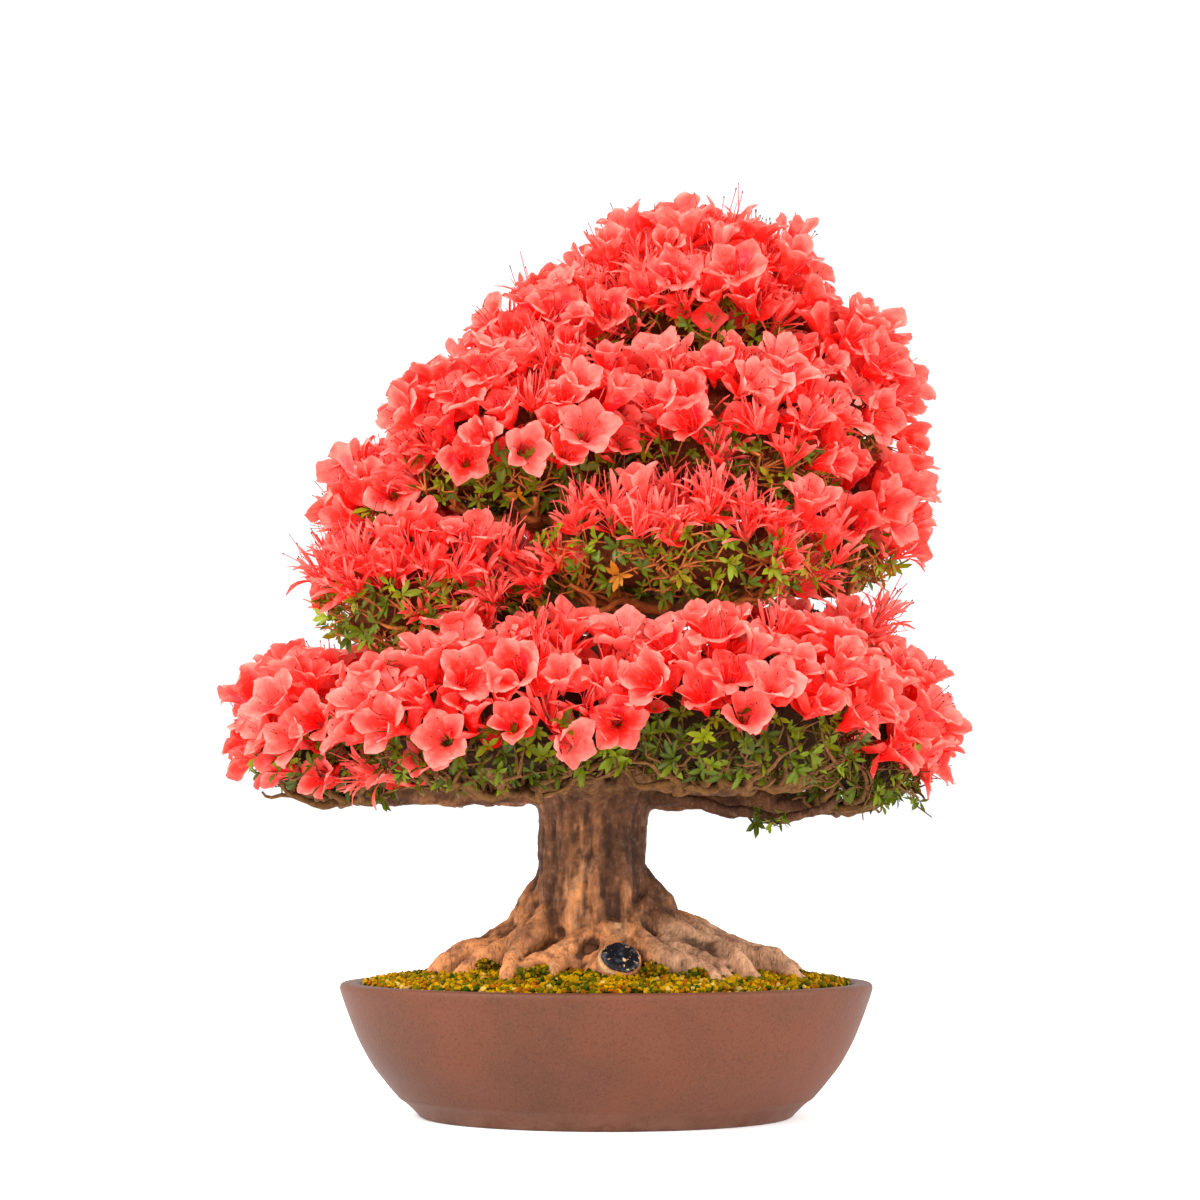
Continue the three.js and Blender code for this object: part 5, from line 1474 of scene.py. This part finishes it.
def bloom_spots(pad, settings, random):
    """Roots and facings of a pad's blooms, in the plant's frame."""
    a, b = pad.size
    spacing = settings.spacing / MM
    slopes = dome_slopes((a + b) / 2 + BLOOM_REACH, pad.dome + BLOOM_REACH, pad.sweep, spacing)
    cell = pad.cell(BLOOM_REACH)
    turn = pad.frame.to_3x3()
    for index, slope in enumerate(slopes):
        angle = even_angle(index * GOLDEN_ANGLE + pad.seed, a, b)
        way = dome_way(angle, slope)
        facing = Vector((way.x / a, way.y / b, way.z / pad.dome)).normalized()
        facing += scatter(random, STAND["lean"]) + UP * STAND["lift"]
        facing.normalize()
        root = pad.frame @ (Vector((way.x * a, way.y * b, way.z * pad.dome)) * boxy(slope))
        facing = turn @ facing
        root -= facing * random.uniform(*STAND["sunk"])
        tip = root + facing * BLOOM_REACH * 1.6
        shift = shift_inside(tip, cell, 3)
        if shift.length < STAND["furthest_shift"] and pad.has_room(tip + shift, facing):
            yield root + shift, facing
    for place in HANGING_BLOOMS.get(pad.name, []):
        axis = axis_at(place[2])
        facing = Vector((place[0] - axis.x, place[1] - axis.y, 0)).normalized()
        facing += scatter(random, 0.2) + UP * random.uniform(-0.1, 0.35)
        facing.normalize()
        yield Vector(place) - facing * BLOOM_REACH, facing


class AZALEA_OT_blooms(bpy.types.Operator):
    """Covers the top of every pad with broad and narrow-petalled blooms"""

    bl_idname = "azalea.blooms"
    bl_label = "Blooms"

    def execute(self, context):
        settings = context.scene.azalea_bloom
        finishes = [
            petal_material(settings),
            plain_material("filament", screen(250, 96, 92), 0.5, 300, 0.8),
            plain_material("anther", settings.anther, 0.6, 300, 0.6),
            plain_material("flower_stalk", screen(150, 140, 60), 0.6, 300, 0.7),
        ]
        radius, stamen = settings.radius / MM, settings.stamen / MM
        broad = [broad_bloom(SEEDS["broad"] + index, radius, stamen) for index in range(KINDS["broad"])]
        straps = [strap_bloom(SEEDS["strap"] + index, radius, stamen) for index in range(KINDS["strap"])]
        loose = [self.loose_petal(SEEDS["loose"] + index, radius) for index in range(KINDS["loose"])]
        for pad in ALL_PADS:
            random = np.random.default_rng(pad.seed)
            shape = Shape()
            for root, facing in bloom_spots(pad, settings, random):
                if random.random() < pad.strap:
                    self.set_blooms(shape, random, straps, SET_STRAP, root, facing)
                else:
                    self.set_blooms(shape, random, broad, SET_BROAD, root, facing)
                self.set_under(shape, random, loose, root, facing)
            piece = shape.build(f"{pad.name}_flowers", finishes)
            settle(piece, "petal", f"{pad.name}_blooms")
        return {"FINISHED"}

    def loose_petal(self, seed, radius):
        """A plain lobe of an older bloom, low among the others."""
        random = np.random.default_rng(seed)
        shape = Shape()
        run, side = np.meshgrid(LOOSE_PETAL["rows"], LOOSE_PETAL["columns"], indexing="ij")
        half = radius * LOOSE_PETAL["half_width"] * np.array(LOOSE_PETAL["widths"])[:, None]
        cup = radius * random.uniform(*LOOSE_PETAL["cups"])
        reach = radius * LOOSE_PETAL["length"] * (run - 0.2 * side**2 * run)
        points = np.stack([reach, side * half, cup * (side**2 + run**2)], axis=-1)
        petal(shape, points, 0.35 + 0.4 * run)
        return shape

    def set_blooms(self, shape, random, kinds, stand, root, facing):
        """One bloom at a spot, or a tuft of them."""
        for _ in range(stand["count"]):
            kind = kinds[random.integers(len(kinds))]
            way = facing + scatter(random, stand["lean"]) + UP * stand["lift"]
            place = root + scatter(random, stand["apart"])
            matrix = placed(place, way.normalized(), random.uniform(0, TURN), random.uniform(*BLOOM_SIZES))
            shape.stamp(kind, matrix, random.random())

    def set_under(self, shape, random, petals, root, facing):
        """A few plain petals between the stalks, so that gaps show more bloom, tinted deep as painted shade.
        """
        if facing.z <= UNDER_PETALS["least_lift"]:
            return
        for index in range(UNDER_PETALS["count"]):
            spin = index / UNDER_PETALS["count"] * TURN + random.uniform(-0.5, 0.5)
            way = (facing + scatter(random, 0.3)).normalized()
            place = root + facing * random.uniform(*UNDER_PETALS["heights"])
            matrix = placed(place, way, spin, random.uniform(*UNDER_PETALS["sizes"]))
            # Tints from the deep half only: painted shade between the blooms.
            kind, tint = petals[random.integers(len(petals))], random.uniform(0, 0.5)
            if matrix.col[0].z > UNDER_PETALS["lowest_run"]:
                shape.stamp(kind, matrix, tint)


# --------------------------------------------------------------------- leaves


def leaf_sheet(random, length, width):
    """Points of one arched, keeled leaf that lies along +X."""
    rise = random.uniform(0.05, 0.3)
    keel = random.uniform(0.15, 0.4)
    points = [(0, 0, 0)]
    for share, spread in LEAF_ROWS:
        x, z = length * share, length * rise * share * (1.6 - 1.4 * share)
        half = width * spread / 2
        points += [(x, -half, z + half * keel), (x, 0, z), (x, half, z + half * keel)]
    points.append((length, 0, length * rise * 0.2))
    return np.array(points)


LEAF_QUADS = np.array([(1, 2, 5, 4), (2, 3, 6, 5)])
LEAF_ENDS = np.array([(0, 2, 1), (0, 3, 2), (4, 5, 7), (5, 6, 7)])
LEAF_SHADES = np.array([(0, 0, 1), *[(row[0], 0, rib) for row in LEAF_ROWS for rib in (0, 1, 0)], (1, 0, 1)])


def whorl(seed, length, width):
    """A whorl of pointed leaves round a twig's end."""
    random = np.random.default_rng(seed)
    shape = Shape()
    count = random.integers(*WHORL["leaves"])
    for leaf in range(count):
        size = random.uniform(*WHORL["sizes"])
        points = leaf_sheet(random, length * size, width * size)
        lift = Quaternion((0, 1, 0), -math.radians(random.uniform(*WHORL["lifts"])))
        spin = Quaternion(UP, (leaf + random.uniform(-0.3, 0.3)) / count * TURN)
        turn = np.array((spin @ lift).to_matrix())
        place = points @ turn.T + np.array([0, 0, random.uniform(*WHORL["heights"])])
        shape.add(place, [LEAF_QUADS, LEAF_ENDS], 0, LEAF_SHADES)
    return shape


def share_under(height):
    """How deep in a pad's bowl of leaves a height lies: 0 at its rim or above, 1 at its bottom."""
    return max(0.0, (FRINGE - height) / BOWL_DEPTH)


def leaf_spots(pad, settings, random):
    """Roots and facings of a pad's whorls: a band round the rim, the underside and a few on top."""
    a, b = pad.size
    spacing = settings.spacing / MM
    cell = pad.cell(BLOOM_REACH)
    turn = pad.frame.to_3x3()
    band = BOWL_DEPTH + LEAF_BAND["top"] - FRINGE
    count = int(math.pi * (a + b) * LEAF_BAND["depth"] / spacing**2)
    for index in range(count):
        angle = even_angle(index * GOLDEN_ANGLE, a, b)
        height = LEAF_BAND["top"] - band * (index + random.random()) / count
        under = share_under(height)
        share = math.sqrt(max(0.0, 1 - min(1, under * 0.97) ** 2)) * random.uniform(*LEAF_BAND["reaches"])
        facing = Vector((math.cos(angle) / a, math.sin(angle) / b, 0)).normalized()
        facing += UP * (LEAF_BAND["lift"] - under) + scatter(random, LEAF_BAND["lean"])
        root = pad.point(angle, share, height)
        if shift_inside(root, cell, 2).length < 8:
            yield root, (turn @ facing).normalized()
    for _ in range(int(count * TOP_LEAVES)):
        slope = math.radians(random.uniform(8, 88))
        way = dome_way(random.uniform(0, TURN), slope)
        root = pad.frame @ Vector((way.x * a, way.y * b, way.z * pad.dome))
        facing = (turn @ way + UP * 0.3).normalized()
        if shift_inside(root, cell, 2).length < 4 and pad.has_room(root, facing):
            yield root + facing * random.uniform(-9, 1), facing
    for sprig in SPRIGS.get(pad.name, []):
        for _ in range(SPRIG_WHORLS):
            facing = scatter(random, 1) - UP * 0.6
            yield Vector(sprig) + scatter(random, 5), facing.normalized()


def pad_shade_core(shape, pad):
    """The dense, dark inside of a pad, a shell of painted shade for the shadowed old twigs and leaves that
    blooms and leaves stand out of.
    """
    rows, sides = CORE["rows"], CORE["sides"]
    a, b = (half - CORE["inset"] for half in pad.size)
    rise, sag = pad.dome - CORE["top_inset"], BOWL_DEPTH - CORE["bottom_inset"]
    points = []
    for row in range(rows):
        slope = math.pi * (row + 0.5) / rows
        for side in range(sides):
            way = dome_way(side / sides * TURN, slope)
            bump = 1 + CORE["bump"] * noise.noise(way * 4 + pad.centre / 30)
            if way.z < 0:
                height = way.z * sag * bump + FRINGE
            else:
                height = way.z * (rise if slope < math.pi / 2 else sag) * bump + FRINGE * (1 - way.z)
            points.append(pad.frame @ Vector((way.x * a * bump, way.y * b * bump, height)))
    top, bottom = (pad.frame @ Vector((0, 0, height)) for height in (rise, FRINGE - sag))
    closed_rings(shape, points, sides, top, bottom, CORE_SHADE, inside_out=True)


def side_limbs(shape, pad, random):
    """Crooked side limbs under the pad. Returns points along them for twigs to start from."""
    hubs = []
    start = pad.point(pad.outward + math.pi, 0.5, UNDER_PAD)
    count = SIDE_LIMBS["low" if pad.is_low else "high"]
    for branch in range(count):
        heading = pad.outward + math.radians(-140 + 280 * branch / (count - 1))
        rise = random.uniform(*SIDE_LIMBS["rises"])
        path = [start.lerp(pad.point(0, 0, UNDER_PAD), 0.4 if branch % 2 else 1),
                pad.point(heading, 0.42, UNDER_PAD + rise),
                pad.point(heading + 0.14, 0.8, UNDER_PAD + 15 + rise)]
        route = wander(smooth_path(path, 14), SIDE_LIMBS["wander"], 17, pad.seed + branch)
        tube(shape, route, SIDE_LIMBS["radii"], 7, TWIG, knobs=(0.5, 8, branch))
        hubs += branchlets(shape, pad, route, random)
    return hubs


def branchlets(shape, pad, route, random):
    """Crooked branchlets that rise from a side limb. Returns points along them for twigs to start from."""
    hubs = [Vector(point) for point in route[5::3]]
    for _ in range(BRANCHLET["per_limb"]):
        start = Vector(route[random.integers(3, len(route))])
        away = (start - pad.centre).normalized()
        way = Vector((away.x, away.y, 0)) * 0.8 + UP * 0.6 + scatter(random, 0.4)
        way.z = max(way.z, BRANCHLET["least_lift"])
        way.normalize()
        length = random.uniform(*BRANCHLET["length"])
        points = [start + way * length * share + scatter(random, BRANCHLET["crooked"]) * share
                  for share in (0.35, 0.7, 1)]
        tube(shape, smooth_path([start, *points], 6), BRANCHLET["radii"], 4, TWIG, capped=False)
        hubs += points
    return hubs


def tangle(shape, pad, random):
    """Fine bare twigs that cross each other in the band under the blooms."""
    cell = pad.cell(BLOOM_REACH)
    turn = pad.frame.to_3x3()
    for _ in range(TANGLE["count"]):
        angle = random.uniform(0, TURN)
        height = random.uniform(FRINGE - BOWL_DEPTH, 4)
        narrowing = math.sqrt(1 - 0.8 * share_under(height) ** 2)
        start = pad.point(angle, random.uniform(*TANGLE["reaches"]) * narrowing, height)
        way = turn @ Vector((math.cos(angle), math.sin(angle), 0.4)) + scatter(random, TANGLE["lean"])
        end = start + way.normalized() * random.uniform(*TANGLE["length"])
        middle = (start + end) / 2 + scatter(random, TANGLE["crooked"])
        if not shift_inside(end, cell, 1).length:
            tube(shape, np.array([start, middle, end]), TANGLE["radii"], 3, TWIG, capped=False)


def pad_twigs(shape, pad, spots, random):
    """Side limbs under the pad and a twig from them to each whorl."""
    hubs = side_limbs(shape, pad, random)
    if pad.name in SPRIGS:
        hubs += [Vector(point) for point in smooth_path(LOW_BRANCH["points"], 12)[4:]]
    for root, _ in spots:
        hub = min(hubs, key=lambda point: (point - root).length_squared)
        middle = (hub + root) / 2 + scatter(random, 3.5)
        tube(shape, smooth_path([hub, middle, root], 4), TWIG_RADII, 3, TWIG, capped=False)


class AZALEA_OT_leaves(bpy.types.Operator):
    """Clothes the rim and underside of every pad with whorls of leaves on fine twigs"""

    bl_idname = "azalea.leaves"
    bl_label = "Leaves and twigs"

    def execute(self, context):
        settings = context.scene.azalea_leaf
        leaf = leaf_material(settings)
        # Slot 2 holds the painted shade inside the pad.
        low = [leaf,
               plain_material("twig_bark", settings.twig, 0.85, 240, 0.4, 600, 0.8),
               plain_material("shaded_twigs", settings.shade, 0.95, 300, 0.35, 300, 2.5)]
        high = [leaf,
                plain_material("young_twig_bark", settings.young_twig, 0.8, 260, 0.55, 600, 0.5),
                plain_material("shaded_young_twigs", settings.young_shade, 0.95, 300, 0.35, 300, 2.5)]
        length, width = settings.length / MM, settings.width / MM
        whorls = [whorl(SEEDS["whorl"] + index, length, width) for index in range(KINDS["whorl"])]
        for pad in ALL_PADS:
            random = np.random.default_rng(SEEDS["foliage"] + pad.seed)
            shape = Shape()
            pad_shade_core(shape, pad)
            spots = list(leaf_spots(pad, settings, random))
            youth = LEAF_YOUTH["low" if pad.is_low else "high"]
            for root, facing in spots:
                matrix = placed(root, facing, random.uniform(0, TURN), random.uniform(*WHORL["scales"]))
                shape.stamp(whorls[random.integers(len(whorls))], matrix, random.uniform(*youth))
            pad_twigs(shape, pad, spots, random)
            tangle(shape, pad, random)
            piece = shape.build(f"{pad.name}_foliage", low if pad.is_low else high)
            settle(piece, "leaf", f"{pad.name}_leaves")
        return {"FINISHED"}


# ---------------------------------------------------------------------- stage


def area_light(name, place, target, width, height, power):
    """A soft rectangular light that points at a target."""
    lamp = bpy.data.lights.new(name, "AREA")
    lamp.shape = "RECTANGLE"
    lamp.size, lamp.size_y, lamp.energy = width, height, power
    light = bpy.data.objects.new(name, lamp)
    light.location = place
    light.rotation_euler = (Vector(target) - Vector(place)).to_track_quat("-Z", "Y").to_euler()
    bpy.context.scene.collection.objects.link(light)


class AZALEA_OT_stage(bpy.types.Operator):
    """Sets the pale floor, the soft lights and the camera"""

    bl_idname = "azalea.stage"
    bl_label = "Stage"

    def execute(self, context):
        settings = context.scene.azalea_stage
        bpy.ops.mesh.primitive_plane_add(size=60)
        floor = context.object
        floor.name = "floor"
        finish = Finish("pale_floor", 0.9)
        finish.set("Base Color", settings.floor)
        finish.set("Emission Color", (1, 1, 1))
        finish.set("Emission Strength", FLOOR_GLOW)
        floor.data.materials.append(finish.material)
        self.sky(context, settings)
        middle = (0, 0, 0.35)
        area_light("key_light", (-1.5, -1.35, 1.9), middle, 1.1, 1.1, settings.key)
        area_light("side_light", (1.9, -0.9, 1.0), middle, 1.0, 1.6, settings.fill)
        context.scene.view_settings.view_transform = "Standard"
        self.camera(context)
        return {"FINISHED"}

    def sky(self, context, settings):
        """A white studio all around, softer on the plant than it looks."""
        world = bpy.data.worlds.new("soft_sky")
        world.use_nodes = True
        nodes = Nodes(world.node_tree)
        seen = nodes.add("LightPath").outputs["Is Camera Ray"]
        background = world.node_tree.nodes["Background"]
        background.inputs["Color"].default_value = (1, 1, 1, 1)
        nodes.feed(background.inputs["Strength"], nodes.between(seen, 0, 1, settings.sky, BACKDROP))
        context.scene.world = world

    def camera(self, context):
        """The camera at the height of the lower pads, looking slightly up."""
        lens = bpy.data.cameras.new("camera")
        lens.lens = CAMERA["lens"]
        lens.sensor_width = CAMERA["sensor"]
        camera = bpy.data.objects.new("camera", lens)
        camera.location = CAMERA["place"]
        camera.rotation_euler = (math.radians(90 + CAMERA["pitch"]), 0, 0)
        context.scene.collection.objects.link(camera)
        context.scene.camera = camera


# --------------------------------------------------------------------- add-on

SETTINGS = {
    "azalea_pot": PotSettings, "azalea_soil": SoilSettings, "azalea_wood": WoodSettings,
    "azalea_leaf": LeafSettings, "azalea_bloom": BloomSettings, "azalea_stage": StageSettings,
}
OPERATORS = [
    AZALEA_OT_stage, AZALEA_OT_pot, AZALEA_OT_soil, AZALEA_OT_drain_meshes, AZALEA_OT_wood,
    AZALEA_OT_seal, AZALEA_OT_leaves, AZALEA_OT_blooms,
]


class AZALEA_PT_panel(bpy.types.Panel):
    """Lists the settings and the pieces of the bonsai"""

    bl_idname = "AZALEA_PT_panel"
    bl_label = "Azalea Bonsai"
    bl_space_type = "VIEW_3D"
    bl_region_type = "UI"
    bl_category = "Azalea"

    def draw(self, context):
        for name, group in SETTINGS.items():
            box = self.layout.box()
            box.label(text=name.removeprefix("azalea_").title())
            for setting in group.__annotations__:
                box.prop(getattr(context.scene, name), setting)
        for operator in OPERATORS:
            self.layout.operator(operator.bl_idname)


CLASSES = [*SETTINGS.values(), *OPERATORS, AZALEA_PT_panel]


def register():
    """Registers the classes and hangs the settings on the scene."""
    for item in CLASSES:
        bpy.utils.register_class(item)
    for name, group in SETTINGS.items():
        setattr(bpy.types.Scene, name, bpy.props.PointerProperty(type=group))


def unregister():
    """Takes the settings and the classes away again."""
    for name in SETTINGS:
        delattr(bpy.types.Scene, name)
    for item in reversed(CLASSES):
        bpy.utils.unregister_class(item)


def main():
    """Builds every piece in order."""
    register()
    for operator in OPERATORS:
        getattr(bpy.ops.azalea, operator.bl_idname.split(".")[1])()


if __name__ == "__main__":
    main()
